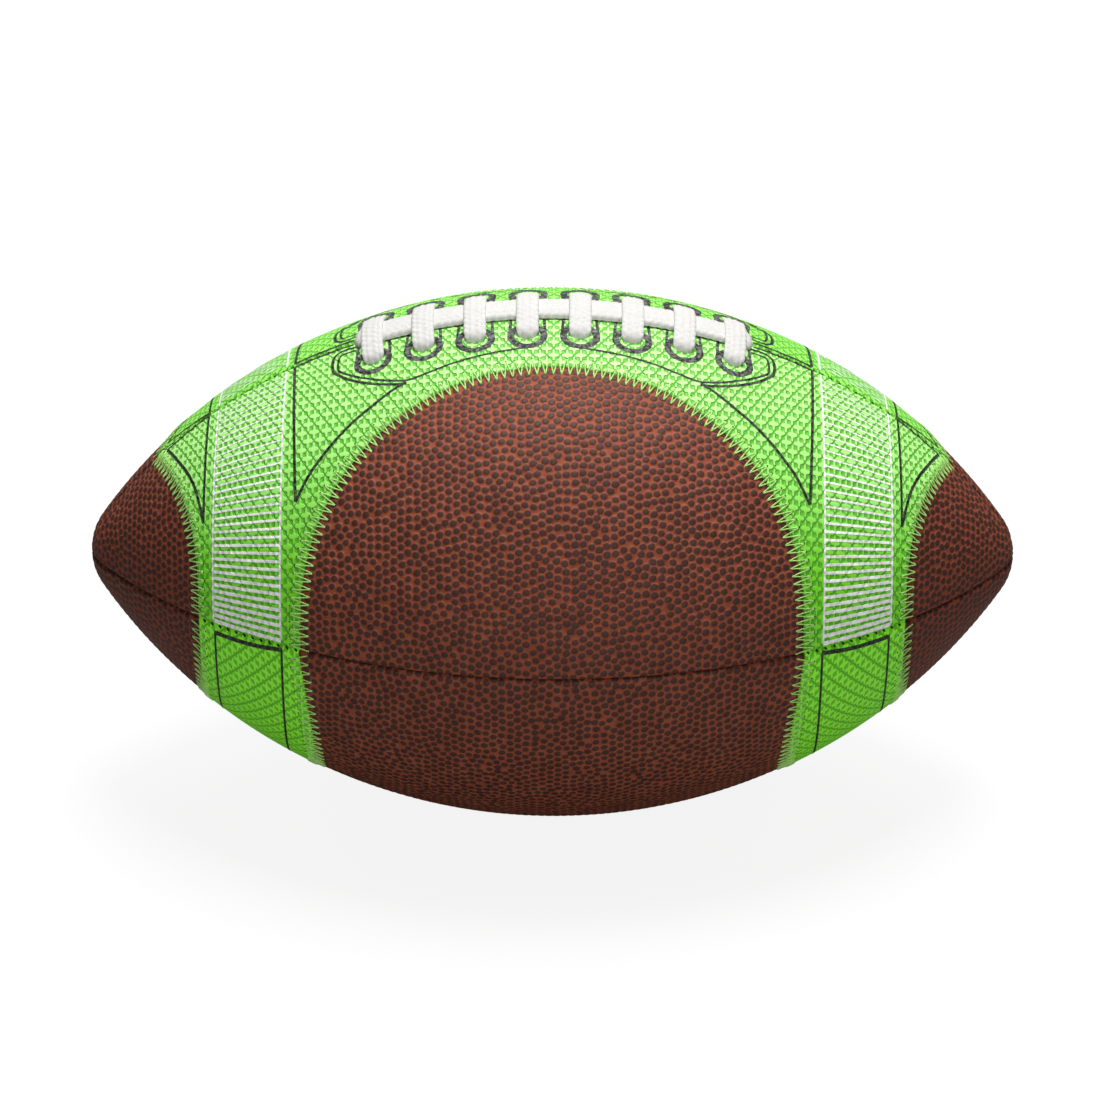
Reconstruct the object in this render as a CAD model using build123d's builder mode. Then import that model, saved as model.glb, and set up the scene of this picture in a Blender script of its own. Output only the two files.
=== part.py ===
"""American football: sewn cover pieces over lining panels, a bladder with its valve, and one lace.

The ball lies on its belly with its long axis along X and its lacing on top, +Z.
The origin is the lowest point of the ball, below its middle. Lengths are in millimetres.
"""

import os
from math import asin, atan2, cos, degrees, sin

from build123d import *

# Form of the ball, measured on the leather
ball_length = 290.0
ball_diameter = 167.0
tip_radius = 19.3

# Cover: pebbled leather pieces and thicker grip pieces, sewn edge to edge into four panels
leather_thickness = 1.8
grip_rise = 0.5
butt_gap = 0.1
seam_roll = 1.1
seam_allowance = 8.5
band_bow_radius = 270.0
tip_curve_radius = 88.0
tip_curve_angle = 34.0

# Places of the cover's seams, as shares of the ball's length and diameter
seam_trim_share = 0.407
arch_radius_share = 0.2672
arch_rise_share = 0.2228
band_inner_share = 0.252
band_outer_share = 0.3745
tip_curve_drop_share = 0.1557

# Lining and bladder, each a small gap below the layer outside it
layer_gap = 0.1
lining_thickness = 0.8
bladder_thickness = 0.7
bladder_clearance = 0.3

# Lacing: one flat lace, drawn together where it passes a hole
crossing_count = 8
crossing_pitch = 16.0
row_offset = 13.5
lace_width = 7.0
lace_thickness = 2.0
lace_drawn_diameter = 4.1
lace_gap = 0.1
lace_hole_clearance = 0.3
lace_bend = 3.2
lace_tail = 12.0
neck_length = 1.4
corner_height = 3.4
corner_bend = 1.8
shoulder_bend = 8.0
strand_width = 8.6
strand_thickness = 3.0
strand_taper = 2.0
strand_lead = 3.6
strand_end = 7.8
strand_hole_clearance = 0.8

# Lace facings, which back the two rows of holes
facing_thickness = 1.2
facing_width = 21.0
facing_margin = 5.0

# Valve, in the middle of the rear lower panel
valve_patch_diameter = 30.0
valve_patch_thickness = 0.8
valve_neck_diameter = 8.0
valve_neck_clearance = 0.2
valve_recess = 0.4
valve_flange_diameter = 22.0
valve_flange_thickness = 1.2
valve_barrel_diameter = 9.0
valve_barrel_length = 13.0
valve_core_diameter = 5.0
valve_core_length = 14.0
valve_core_clearance = 0.05
needle_bore_diameter = 2.4
needle_bore_depth = 10.0

# Cuts run this far past what they cut
overrun = 5.0

# A lengthwise section has a belly arc that runs into an arc round each tip
ball_radius = ball_diameter / 2
tip_centre = ball_length / 2 - tip_radius
belly_radius = (tip_centre**2 + ball_radius**2 - tip_radius**2) / (2 * (ball_radius - tip_radius))
belly_drop = belly_radius - ball_radius
tip_arc_angle = degrees(atan2(belly_drop, tip_centre))
full_length = ball_length + 2 * overrun
full_width = ball_diameter + 2 * overrun

# Places of the cover's seams: lengthwise from the middle of the ball, across from a panel's mid-line
seam_trim = seam_trim_share * ball_length
arch_radius = arch_radius_share * ball_length
arch_drop = arch_radius - arch_rise_share * ball_diameter
band_inner = band_inner_share * ball_length
band_outer = band_outer_share * ball_length
tip_curve_drop = tip_curve_drop_share * ball_diameter

# Depths below the leather's surface, from the outside in
lining_depth = leather_thickness + layer_gap
backing_depth = lining_depth + lining_thickness + layer_gap
facing_back = backing_depth + facing_thickness
patch_back = backing_depth + valve_patch_thickness
lace_inner_depth = facing_back + lace_gap + lace_bend

# Reference planes, through the middle of the ball
centre = Vector(0, 0, ball_radius)
meridian_plane = Plane(origin=centre, x_dir=(1, 0, 0), z_dir=(0, -1, 0))
level_plane = Plane(origin=centre, x_dir=(1, 0, 0), z_dir=(0, 0, 1))
upper_panel_plane = Plane(origin=centre, x_dir=(1, 0, 0), z_dir=(0, -1, 1))
lower_panel_plane = Plane(origin=centre, x_dir=(1, 0, 0), z_dir=(0, -1, -1))
valve_plane = Plane(origin=centre, x_dir=(1, 0, 0), z_dir=(0, 1, -1))
spin_axis = Axis(centre, (1, 0, 0))

# Lacing geometry: crossings fan out about the centre of the belly arc
belly_centre = Vector(0, 0, ball_radius - belly_drop)
row_angle = asin(row_offset / ball_radius)
crossing_angles = [
    (number - (crossing_count - 1) / 2) * crossing_pitch / belly_radius for number in range(crossing_count)
]
strand_end_angle = crossing_angles[-1] + strand_end / belly_radius
strand_end_reach = belly_radius * sin(strand_end_angle)
lace_mouth = ball_radius + grip_rise + lace_gap
lace_inner = ball_radius - lace_inner_depth
lace_inner_height = belly_drop + lace_inner * cos(row_angle)
lace_hole_radius = lace_drawn_diameter / 2 + lace_hole_clearance
strand_hole_radius = lace_drawn_diameter / 2 + strand_hole_clearance
strand_height = belly_radius + grip_rise + lace_gap + lace_drawn_diameter / 2

# Room for the lacing in the bladder
pocket_depth = belly_radius - lace_inner_height + lace_drawn_diameter / 2 + bladder_clearance
pocket_half_length = strand_end_reach + lace_tail + lace_drawn_diameter / 2 + bladder_clearance
pocket_half_width = facing_width + bladder_clearance

# Places along the valve's axis, as distances from the middle of the ball
valve_top = ball_radius - valve_recess
valve_seat_depth = patch_back + layer_gap
valve_seat_radius = valve_patch_diameter / 2 + bladder_clearance
flange_depth = valve_seat_depth + bladder_thickness + layer_gap
flange_height = ball_radius - flange_depth - valve_flange_thickness / 2
valve_hole_radius = valve_neck_diameter / 2 + valve_neck_clearance


def meridian_arcs(depth):
    """Half the outline of a lengthwise section, at a depth below the leather's surface."""
    tip = tip_radius - depth
    right = CenterArc((tip_centre, 0), tip, 0, tip_arc_angle)
    CenterArc((0, -belly_drop), belly_radius - depth, tip_arc_angle, 180 - 2 * tip_arc_angle)
    left = CenterArc((-tip_centre, 0), tip, 180 - tip_arc_angle, tip_arc_angle)
    return right, left


def ball_layer(outer_depth, inner_depth=None):
    """A shell of the ball's form between two depths, or all of the form below one depth."""
    with BuildPart() as layer:
        with BuildSketch(meridian_plane):
            with BuildLine():
                right, left = meridian_arcs(outer_depth)
                Line(left @ 1, right @ 0)
            make_face()
            if inner_depth is not None:
                with BuildLine():
                    right, left = meridian_arcs(inner_depth)
                    Line(left @ 1, right @ 0)
                make_face(mode=Mode.SUBTRACT)
        revolve(axis=spin_axis)
    return layer.part


def seam_groove(rise, seam_plane):
    """The valley between rolled panel edges, right round the ball in one plane of seams."""
    crest = centre + seam_plane.y_dir * (ball_radius + rise)
    roll_centre = seam_roll + butt_gap / 2
    with BuildPart() as groove:
        with BuildLine(seam_plane) as loop:
            meridian_arcs(-rise)
            mirror(about=Plane.XZ)
        with BuildSketch(Plane(origin=crest, x_dir=seam_plane.z_dir, z_dir=(1, 0, 0))):
            Rectangle(2 * seam_roll, 2 * seam_roll)
            with Locations((roll_centre, -seam_roll), (-roll_centre, -seam_roll)):
                Circle(seam_roll, mode=Mode.SUBTRACT)
        sweep(path=loop.wires()[0])
    return groove.part


def seam_welts():
    """The panel edges turned in along the seams, left away under the lacing and near the tips."""
    layer = ball_layer(leather_thickness / 2, leather_thickness + seam_allowance)
    with BuildPart() as welts:
        with Locations(centre):
            Box(2 * seam_trim, 2 * leather_thickness, full_width)
            Box(2 * seam_trim, full_width, 2 * leather_thickness)
            Box(
                2 * pocket_half_length,
                2 * leather_thickness,
                full_width / 2,
                align=(Align.CENTER, Align.CENTER, Align.MIN),
                mode=Mode.SUBTRACT,
            )
        add(layer, mode=Mode.INTERSECT)
    return welts.part


def front_quarter(layer, upper, seam_gap):
    """The quarter of a layer that lies in front, above or below the front seam."""
    rise = seam_gap if upper else -seam_gap
    with BuildPart() as quarter:
        add(layer)
        with Locations((0, -seam_gap, ball_radius + rise)):
            Box(
                full_length,
                full_width,
                full_width,
                align=(Align.CENTER, Align.MAX, Align.MIN if upper else Align.MAX),
                mode=Mode.INTERSECT,
            )
    return quarter.part


def cover_blank(rise):
    """The whole cover, with its turned-in edges and its seam grooves, at a rise above the leather."""
    shell = ball_layer(-rise, leather_thickness)
    welts = seam_welts()
    grooves = [seam_groove(rise, meridian_plane), seam_groove(rise, level_plane)]
    with BuildPart() as blank:
        add(shell)
        add(welts)
        add(grooves, mode=Mode.SUBTRACT)
    return blank.part


def arch_outline(gap):
    """The arch of the upper inset, drawn in by a gap, on the panel's plane."""
    radius = arch_radius - gap
    with BuildSketch(upper_panel_plane) as outline:
        with BuildLine():
            arch = CenterArc((0, -arch_drop), radius, 0, 180)
            Polyline(arch @ 1, (-radius, -full_width), (radius, -full_width), arch @ 0)
        make_face()
    return outline.sketch


def tip_outline(side, gap):
    """All that lies past the upper tip seam on one side, moved out by a gap, on the panel's plane."""
    edge = side * (band_outer + gap)
    with BuildSketch(upper_panel_plane) as outline:
        with BuildLine():
            straight = Line((edge, -full_width), (edge, -tip_curve_drop))
            curve = JernArc(straight @ 1, (0, 1), tip_curve_radius, -side * tip_curve_angle)
            run_out = Line(curve @ 1, (curve @ 1) + (curve % 1) * full_width)
            Polyline(run_out @ 1, (side * full_length, -full_width), straight @ 0)
        make_face()
    return outline.sketch


def band_outline(side, gap):
    """All that lies past the inner band seam on one side, moved in by a gap, on the lower panel's plane."""
    with BuildSketch(lower_panel_plane) as outline:
        with Locations((side * (band_inner + band_bow_radius), 0)):
            Circle(band_bow_radius + gap)
    return outline.sketch


def crossing_plane(angle):
    """The plane of one crossing: X across the ball to the rear, Y outwards, square to the belly."""
    return Plane(origin=belly_centre, x_dir=(0, 1, 0), z_dir=(cos(angle), 0, -sin(angle)))


def row_point(angle, side, radius):
    """A point on the axis of a lace hole, in front (-1) or behind (1), at a distance from its foot."""
    across = side * radius * sin(row_angle)
    return crossing_plane(angle).from_local_coords((across, belly_drop + radius * cos(row_angle), 0))


def seam_point(angle, height):
    """A point over the lace seam, at a height above the centre of the belly arc."""
    return crossing_plane(angle).from_local_coords((0, height, 0))


def row_axes(side):
    """The axes of one row of lace holes, starting well inside the ball."""
    feet = [row_point(angle, side, 0) for angle in crossing_angles]
    mouths = [row_point(angle, side, ball_radius) for angle in crossing_angles]
    return [Plane(foot, z_dir=mouth - foot) for foot, mouth in zip(feet, mouths)]


def strand_axes():
    """The axes of the two holes on the lace seam that take the ends of the lengthwise strand."""
    end_angles = (-strand_end_angle, strand_end_angle)
    feet = [seam_point(angle, belly_drop) for angle in end_angles]
    mouths = [seam_point(angle, belly_radius) for angle in end_angles]
    return [Plane(foot, z_dir=mouth - foot) for foot, mouth in zip(feet, mouths)]


def lace_holes():
    """Cutters for the front row of lace holes and for the strand's two holes."""
    with BuildPart() as holes:
        with Locations(row_axes(-1)):
            Cylinder(lace_hole_radius, full_width / 2, align=(Align.CENTER, Align.CENTER, Align.MIN))
        with Locations(strand_axes()):
            Cylinder(strand_hole_radius, full_width / 2, align=(Align.CENTER, Align.CENTER, Align.MIN))
    return holes.part


def lace_run(points):
    """A stretch of drawn lace inside the ball, from hole to hole, with rounded corners."""
    with BuildPart() as run:
        with BuildLine() as route:
            FilletPolyline(*points, radius=lace_bend)
        with BuildSketch(Plane(route.line @ 0, z_dir=route.line % 0)):
            Circle(lace_drawn_diameter / 2)
        sweep(path=route.line)
    return run.part


def lace_crossing(angle):
    """One flat crossing over the strand, with its two necks down to the lace holes."""
    plane = crossing_plane(angle)
    neck_top = lace_mouth + neck_length
    corner = lace_mouth + corner_height
    crown = belly_radius + grip_rise + 2 * lace_gap + strand_thickness + lace_thickness / 2
    front_corner = (-corner * sin(row_angle), belly_drop + corner * cos(row_angle))
    front_foot = (-neck_top * sin(row_angle), belly_drop + neck_top * cos(row_angle))
    with BuildPart() as crossing:
        with BuildLine(plane) as route:
            FilletPolyline(
                front_foot,
                front_corner,
                (-strand_width / 2, crown),
                (strand_width / 2, crown),
                (-front_corner[0], front_corner[1]),
                (-front_foot[0], front_foot[1]),
                radius=[corner_bend, shoulder_bend, shoulder_bend, corner_bend],
            )
        with BuildSketch(Plane(route.line @ 0, x_dir=plane.z_dir, z_dir=route.line % 0)):
            SlotOverall(lace_width, lace_thickness)
        sweep(path=route.line)
        for side in (-1, 1):
            mouth = row_point(angle, side, lace_mouth)
            outwards = mouth - row_point(angle, side, 0)
            with BuildSketch(Plane(mouth, x_dir=plane.z_dir, z_dir=outwards)):
                Circle(lace_drawn_diameter / 2)
            with BuildSketch(Plane(row_point(angle, side, neck_top), x_dir=plane.z_dir, z_dir=outwards)):
                SlotOverall(lace_width, lace_thickness)
            loft()
    return crossing.part


def lace_strand():
    """The flat lengthwise strand on the lace seam, drawn in to the round lace at both ends."""
    flat_height = belly_radius + grip_rise + lace_gap + strand_thickness / 2
    lead_angle = strand_end_angle - strand_lead / belly_radius
    flat_angle = lead_angle - strand_taper / belly_radius
    with BuildPart() as strand:
        with BuildLine(Plane(belly_centre, x_dir=(1, 0, 0), z_dir=(0, -1, 0))) as route:
            CenterArc((0, 0), flat_height, 90 - degrees(flat_angle), 2 * degrees(flat_angle))
        with BuildSketch(Plane(route.line @ 0, x_dir=(0, 1, 0), z_dir=route.line % 0)):
            SlotOverall(strand_width, strand_thickness)
        sweep(path=route.line)
        for side in (-1, 1):
            flat_end = seam_point(side * flat_angle, flat_height)
            lead = seam_point(side * lead_angle, strand_height)
            lead_on = seam_point(side * strand_end_angle, strand_height) - lead
            with BuildSketch(Plane(flat_end, x_dir=(0, 1, 0), z_dir=crossing_plane(side * flat_angle).z_dir)):
                SlotOverall(strand_width, strand_thickness)
            with BuildSketch(Plane(lead, x_dir=(0, 1, 0), z_dir=lead_on * side)):
                Circle(lace_drawn_diameter / 2)
            loft()
    return strand.part


def strand_end_points(side):
    """The lead of the strand, its corner over the end hole, and the corner below that hole."""
    lead_angle = strand_end_angle - strand_lead / belly_radius
    return [
        seam_point(side * lead_angle, strand_height),
        seam_point(side * strand_end_angle, strand_height),
        seam_point(side * strand_end_angle, lace_inner_height),
    ]


def lengthwise_piece(blank, start, end):
    """The stretch of a blank between two distances from the middle of the ball."""
    with BuildPart() as piece:
        add(blank)
        with Locations(((start + end) / 2, 0, ball_radius)):
            Box(end - start, full_width, full_width, mode=Mode.INTERSECT)
    return piece.part


def bladder_form(depth):
    """The bladder's outside, or its inside at a depth below that, pressed in where the cover is thick."""
    filled = ball_layer(backing_depth + depth)
    pressed = ball_layer(pocket_depth + depth)
    seat = ball_layer(0, valve_seat_depth + depth)
    trim = seam_trim + bladder_clearance + depth
    welt = leather_thickness + bladder_clearance + depth
    with BuildPart() as valve_seat:
        with Locations(valve_plane):
            Cylinder(
                valve_seat_radius + depth, full_width / 2, align=(Align.CENTER, Align.CENTER, Align.MIN)
            )
        add(seat, mode=Mode.INTERSECT)
    with BuildPart() as form:
        add(filled)
        with Locations(centre):
            Box(2 * trim, 2 * welt, full_width, mode=Mode.SUBTRACT)
            Box(2 * trim, full_width, 2 * welt, mode=Mode.SUBTRACT)
            Box(
                2 * (pocket_half_length + depth),
                2 * (pocket_half_width + depth),
                full_width / 2,
                align=(Align.CENTER, Align.CENTER, Align.MIN),
                mode=Mode.SUBTRACT,
            )
        add(pressed)
        add(valve_seat.part, mode=Mode.SUBTRACT)
    return form.part


# Every finished piece, by its name
pieces = {}
sides = {"left": -1, "right": 1}

# Front cover pieces
leather_blank = cover_blank(0)
grip_blank = cover_blank(grip_rise)
upper_leather = front_quarter(leather_blank, True, butt_gap / 2)
lower_leather = front_quarter(leather_blank, False, butt_gap / 2)
upper_grip = front_quarter(grip_blank, True, butt_gap / 2)
lower_grip = front_quarter(grip_blank, False, butt_gap / 2)
front_holes = lace_holes()

with BuildPart() as upper_front_grip:
    add(upper_grip)
    extrude(arch_outline(0), amount=full_width, mode=Mode.SUBTRACT)
    for side in sides.values():
        extrude(tip_outline(side, 0), amount=full_width, mode=Mode.SUBTRACT)
    add(front_holes, mode=Mode.SUBTRACT)
pieces["upper_front_grip"] = upper_front_grip.part

with BuildPart() as upper_front_inset:
    add(upper_leather)
    extrude(arch_outline(butt_gap), amount=full_width, mode=Mode.INTERSECT)
pieces["upper_front_inset"] = upper_front_inset.part

for name, side in sides.items():
    with BuildPart() as upper_front_tip:
        add(upper_leather)
        extrude(tip_outline(side, butt_gap), amount=full_width, mode=Mode.INTERSECT)
    pieces[f"upper_front_{name}_tip"] = upper_front_tip.part

with BuildPart() as lower_front_middle:
    add(lower_leather)
    for side in sides.values():
        extrude(band_outline(side, butt_gap), amount=full_width, mode=Mode.SUBTRACT)
pieces["lower_front_middle"] = lower_front_middle.part

for name, side in sides.items():
    band_ends = sorted((0, side * band_outer))
    band_blank = lengthwise_piece(lower_grip, *band_ends)
    with BuildPart() as lower_front_band:
        add(band_blank)
        extrude(band_outline(side, 0), amount=full_width, mode=Mode.INTERSECT)
    pieces[f"lower_front_{name}_band"] = lower_front_band.part
    tip_ends = sorted((side * (band_outer + butt_gap), side * full_length))
    pieces[f"lower_front_{name}_tip"] = lengthwise_piece(lower_leather, *tip_ends)

# Front lining panels, clear of the turned-in edges
lining_layer = ball_layer(lining_depth, lining_depth + lining_thickness)
upper_lining = front_quarter(lining_layer, True, lining_depth)
lower_lining = front_quarter(lining_layer, False, lining_depth)

with BuildPart() as upper_front_lining:
    add(upper_lining)
    add(front_holes, mode=Mode.SUBTRACT)
pieces["upper_front_lining"] = upper_front_lining.part
pieces["lower_front_lining"] = lower_lining

# Front lace facing, behind the lining
facing_layer = ball_layer(backing_depth, facing_back)
with BuildPart() as front_lace_facing:
    add(facing_layer)
    with Locations((0, -butt_gap / 2, ball_radius)):
        Box(
            2 * (strand_end_reach + facing_margin),
            facing_width,
            full_width / 2,
            align=(Align.CENTER, Align.MAX, Align.MIN),
            mode=Mode.INTERSECT,
        )
    add(front_holes, mode=Mode.SUBTRACT)
pieces["front_lace_facing"] = front_lace_facing.part

# The rear half mirrors the front half, and its lower panel is pierced for the valve
for name, piece in list(pieces.items()):
    with BuildPart() as rear_piece:
        mirror(piece, about=Plane.XZ)
        if name in ("lower_front_middle", "lower_front_lining"):
            with Locations(valve_plane):
                Cylinder(
                    valve_hole_radius,
                    full_width / 2,
                    align=(Align.CENTER, Align.CENTER, Align.MIN),
                    mode=Mode.SUBTRACT,
                )
    pieces[name.replace("front", "rear")] = rear_piece.part

# Valve patch, behind the rear lower lining
patch_layer = ball_layer(backing_depth, patch_back)
with BuildPart() as valve_patch:
    with BuildSketch(valve_plane):
        Circle(valve_patch_diameter / 2)
        Circle(valve_hole_radius, mode=Mode.SUBTRACT)
    extrude(amount=full_width / 2)
    add(patch_layer, mode=Mode.INTERSECT)
pieces["valve_patch"] = valve_patch.part

# Bladder, one closed skin with a hole for the valve's neck
bladder_outside = bladder_form(0)
bladder_inside = bladder_form(bladder_thickness)
with BuildPart() as bladder:
    add(bladder_outside)
    add(bladder_inside, mode=Mode.SUBTRACT)
    with BuildSketch(valve_plane):
        Circle(valve_hole_radius)
    extrude(amount=full_width / 2, mode=Mode.SUBTRACT)
pieces["bladder"] = bladder.part

# Valve housing: a flange inside the bladder, a neck out to the cover and a barrel for the core
flange_layer = ball_layer(flange_depth, flange_depth + valve_flange_thickness)
with BuildPart() as valve_flange:
    with BuildSketch(valve_plane):
        Circle(valve_flange_diameter / 2)
    extrude(amount=full_width / 2)
    add(flange_layer, mode=Mode.INTERSECT)
with BuildPart() as valve_housing:
    add(valve_flange.part)
    with BuildSketch(valve_plane.offset(flange_height)):
        Circle(valve_neck_diameter / 2)
    extrude(amount=valve_top - flange_height)
    with BuildSketch(valve_plane.offset(flange_height)):
        Circle(valve_barrel_diameter / 2)
    extrude(amount=-valve_barrel_length)
    with BuildSketch(valve_plane.offset(valve_top)):
        Circle(valve_core_diameter / 2 + valve_core_clearance)
    extrude(amount=-valve_core_length - valve_core_clearance, mode=Mode.SUBTRACT)
pieces["valve_housing"] = valve_housing.part

# Valve core, flush with the neck, with the bore that takes an inflating needle
with BuildPart() as valve_core:
    with BuildSketch(valve_plane.offset(valve_top)):
        Circle(valve_core_diameter / 2)
    extrude(amount=-valve_core_length)
    with BuildSketch(valve_plane.offset(valve_top)):
        Circle(needle_bore_diameter / 2)
    extrude(amount=-needle_bore_depth, mode=Mode.SUBTRACT)
pieces["valve_core"] = valve_core.part

# Lace: strand, crossings, and the runs inside that lead from one crossing to the next
first_angle = crossing_angles[0]
last_angle = crossing_angles[-1]
tail_turn = lace_tail / belly_radius
inner_routes = [
    [
        row_point(here, 1, lace_mouth),
        row_point(here, 1, lace_inner),
        row_point(before, -1, lace_inner),
        row_point(before, -1, lace_mouth),
    ]
    for before, here in zip(crossing_angles, crossing_angles[1:])
]
inner_routes.append(
    strand_end_points(1) + [row_point(last_angle, -1, lace_inner), row_point(last_angle, -1, lace_mouth)]
)
inner_routes.append(strand_end_points(-1) + [seam_point(-strand_end_angle - tail_turn, lace_inner_height)])
inner_routes.append(
    [
        row_point(first_angle, 1, lace_mouth),
        row_point(first_angle, 1, lace_inner),
        row_point(first_angle - tail_turn, 1, lace_inner),
    ]
)
strand = lace_strand()
crossings = [lace_crossing(angle) for angle in crossing_angles]
inner_runs = [lace_run(route) for route in inner_routes]
with BuildPart() as lace:
    add(strand)
    add(crossings)
    add(inner_runs)
pieces["lace"] = lace.part

os.makedirs("parts", exist_ok=True)
for name, piece in pieces.items():
    piece.label = name
    export_step(piece, f"parts/{name}.step")
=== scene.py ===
"""Looks of an american football: its sewn cover, stitches, printed lines and lace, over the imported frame.

The frame has its origin at the lowest point of the ball, X along the ball and Z up through the lacing.
Sizes are in millimetres unless a name says otherwise. A place on the ball is given by its arc, the
distance along the ball's side from the middle, and its angle round the long axis from the lacing.
"""

import logging
import math
from dataclasses import dataclass, field
from enum import Enum

import bpy
import numpy as np
from mathutils import Matrix, Vector
from mathutils.kdtree import KDTree


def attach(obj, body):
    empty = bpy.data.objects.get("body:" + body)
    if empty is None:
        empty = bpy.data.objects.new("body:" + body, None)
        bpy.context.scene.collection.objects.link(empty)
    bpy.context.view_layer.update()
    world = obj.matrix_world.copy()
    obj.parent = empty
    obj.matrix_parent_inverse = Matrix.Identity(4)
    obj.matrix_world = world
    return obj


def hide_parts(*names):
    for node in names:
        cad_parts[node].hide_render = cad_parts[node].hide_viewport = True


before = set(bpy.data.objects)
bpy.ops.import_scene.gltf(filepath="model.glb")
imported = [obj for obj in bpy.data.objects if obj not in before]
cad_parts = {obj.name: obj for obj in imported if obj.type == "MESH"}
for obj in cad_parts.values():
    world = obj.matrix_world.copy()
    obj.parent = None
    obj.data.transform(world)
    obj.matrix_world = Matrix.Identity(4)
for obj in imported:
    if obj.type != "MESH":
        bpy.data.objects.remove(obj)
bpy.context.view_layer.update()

Array = np.ndarray
Pair = tuple[np.ndarray, np.ndarray]
Span = tuple[float, float]
Piece = bpy.types.Object

MM = 0.001
BODY = "root"
FLAT_MAP = "flat"
PEBBLE = "pebble"
# Attribute of random tone together with painted light and shade: the leather's tone, and the grip's painted
# sheen.
TONE_AND_PAINTED_LIGHT = "tone"
SMOOTH = {"interpolation_type": "SMOOTHSTEP"}
COLOURS = {"data_type": "RGBA"}
PLACE = ("place", "TexCoord", {}, {})

log = logging.getLogger("football")


class Named(Enum):
    """A choice whose name, in small letters, is part of the names of pieces."""

    @property
    def label(self) -> str:
        """The choice's name in the names of pieces."""
        return self.name.lower()


class Half(Named):
    """The front half of the ball and the rear half, which mirrors it."""

    FRONT = 1
    REAR = -1


class Panel(Named):
    """An upper and a lower panel in each half, by the angle of its mid-line."""

    UPPER = math.pi / 4
    LOWER = 3 * math.pi / 4

    @property
    def hand(self) -> int:
        """Which way the panel's flat map runs: 1 with the angle, -1 against it."""
        return 1 if self is Panel.UPPER else -1


class Side(Named):
    """The left and the right end of the ball, as the camera sees them."""

    LEFT = -1
    RIGHT = 1


def eased_step(value: Array, start: float, stop: float) -> Array:
    """A smooth step from 0 at the start to 1 at the stop."""
    share = np.clip((value - start) / (stop - start), 0, 1)
    return share * share * (3 - 2 * share)


@dataclass(frozen=True)
class Ball:
    """The ball's form: a belly arc that runs into an arc round each tip."""

    length: float = 290.0
    diameter: float = 167.0
    tip_radius: float = 19.3
    rear_slack: float = 1.5
    slack_reach: float = 125.0
    slack_start: Span = (11.0, 27.0)
    slack_stop: Span = (45.0, 85.0)
    seam_lift: float = math.radians(0.95)
    lift_reach: float = math.radians(36.0)

    @property
    def centre_height(self) -> float:
        """Height of the long axis."""
        return self.diameter / 2

    @property
    def tip_centre(self) -> float:
        """Distance of a tip arc's centre from the middle."""
        return self.length / 2 - self.tip_radius

    @property
    def belly_radius(self) -> float:
        """Radius of the belly arc."""
        squares = self.tip_centre**2 + self.centre_height**2 - self.tip_radius**2
        return squares / (2 * (self.centre_height - self.tip_radius))

    @property
    def belly_drop(self) -> float:
        """How far the belly arc's centre lies past the long axis."""
        return self.belly_radius - self.centre_height

    @property
    def join_angle(self) -> float:
        """Turn of the belly arc from the middle to where the tip arc takes over."""
        return math.atan2(self.tip_centre, self.belly_drop)

    @property
    def join_arc(self) -> float:
        """Arc at which the tip arc takes over."""
        return self.belly_radius * self.join_angle

    @property
    def end_arc(self) -> float:
        """Arc at the very tip."""
        return self.join_arc + self.tip_radius * (math.pi / 2 - self.join_angle)

    def meridian(self, arc: Array, off: Array) -> Pair:
        """Places along and out from the long axis.

        Args:
            arc: Distances along the ball's side from the middle.
            off: Distances out from the leather's surface.

        Returns:
            The distances along the axis and out from it.
        """
        size = np.abs(arc)
        belly = size < self.join_arc
        tip_turn = self.join_angle + (size - self.join_arc) / self.tip_radius
        turn = np.where(belly, size / self.belly_radius, tip_turn)
        reach = np.where(belly, self.belly_radius, self.tip_radius) + off
        along = np.sign(arc) * (np.where(belly, 0.0, self.tip_centre) + reach * np.sin(turn))
        return along, np.where(belly, -self.belly_drop, 0.0) + reach * np.cos(turn)

    def radius(self, arc: Array) -> Array:
        """Distance of the leather's surface from the long axis."""
        return self.meridian(np.asarray(arc, float), 0.0)[1]

    def arc(self, along: Array) -> Array:
        """Arc of the surface point at a distance along the axis.

        Args:
            along: Distances from the middle.

        Returns:
            The arcs.
        """
        size = np.abs(along)
        belly = self.belly_radius * np.arcsin(np.clip(size / self.belly_radius, -1, 1))
        tip_turn = np.arcsin(np.clip((size - self.tip_centre) / self.tip_radius, -1, 1))
        tip = self.join_arc + self.tip_radius * (tip_turn - self.join_angle)
        return np.sign(along) * np.where(belly < self.join_arc, belly, tip)

    def slack(self, arc: Array, angle: Array) -> Array:
        """How far the rear upper side hangs in, where the lacing draws the cover together.

        Args:
            arc: The places' arcs.
            angle: Their angles.

        Returns:
            One depth for each place.
        """
        turn = np.degrees(angle)
        fade = np.cos(np.clip(arc / self.slack_reach, -1, 1) * math.pi / 2) ** 2
        starts, stops = eased_step(turn, *self.slack_start), eased_step(turn, *self.slack_stop)
        return self.rear_slack * starts * (1 - stops) * fade

    def place(self, arc: Array, angle: Array, off: Array, half: Half) -> Array:
        """Points in the frame.

        Args:
            arc: Distances along the ball's side from the middle.
            angle: Angles round the long axis from the lacing.
            off: Distances out from the leather's surface.
            half: The half of the ball that the angles open into.

        Returns:
            One point in metres for each place.
        """
        if half is Half.REAR:
            off = off - self.slack(arc, angle)
        angle = angle - self.seam_lift * np.exp(-(((angle - math.pi / 2) / self.lift_reach) ** 2))
        along, out = self.meridian(arc, off)
        across = -half.value * out * np.sin(angle)
        return np.stack((along, across, self.centre_height + out * np.cos(angle)), -1) * MM


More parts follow.
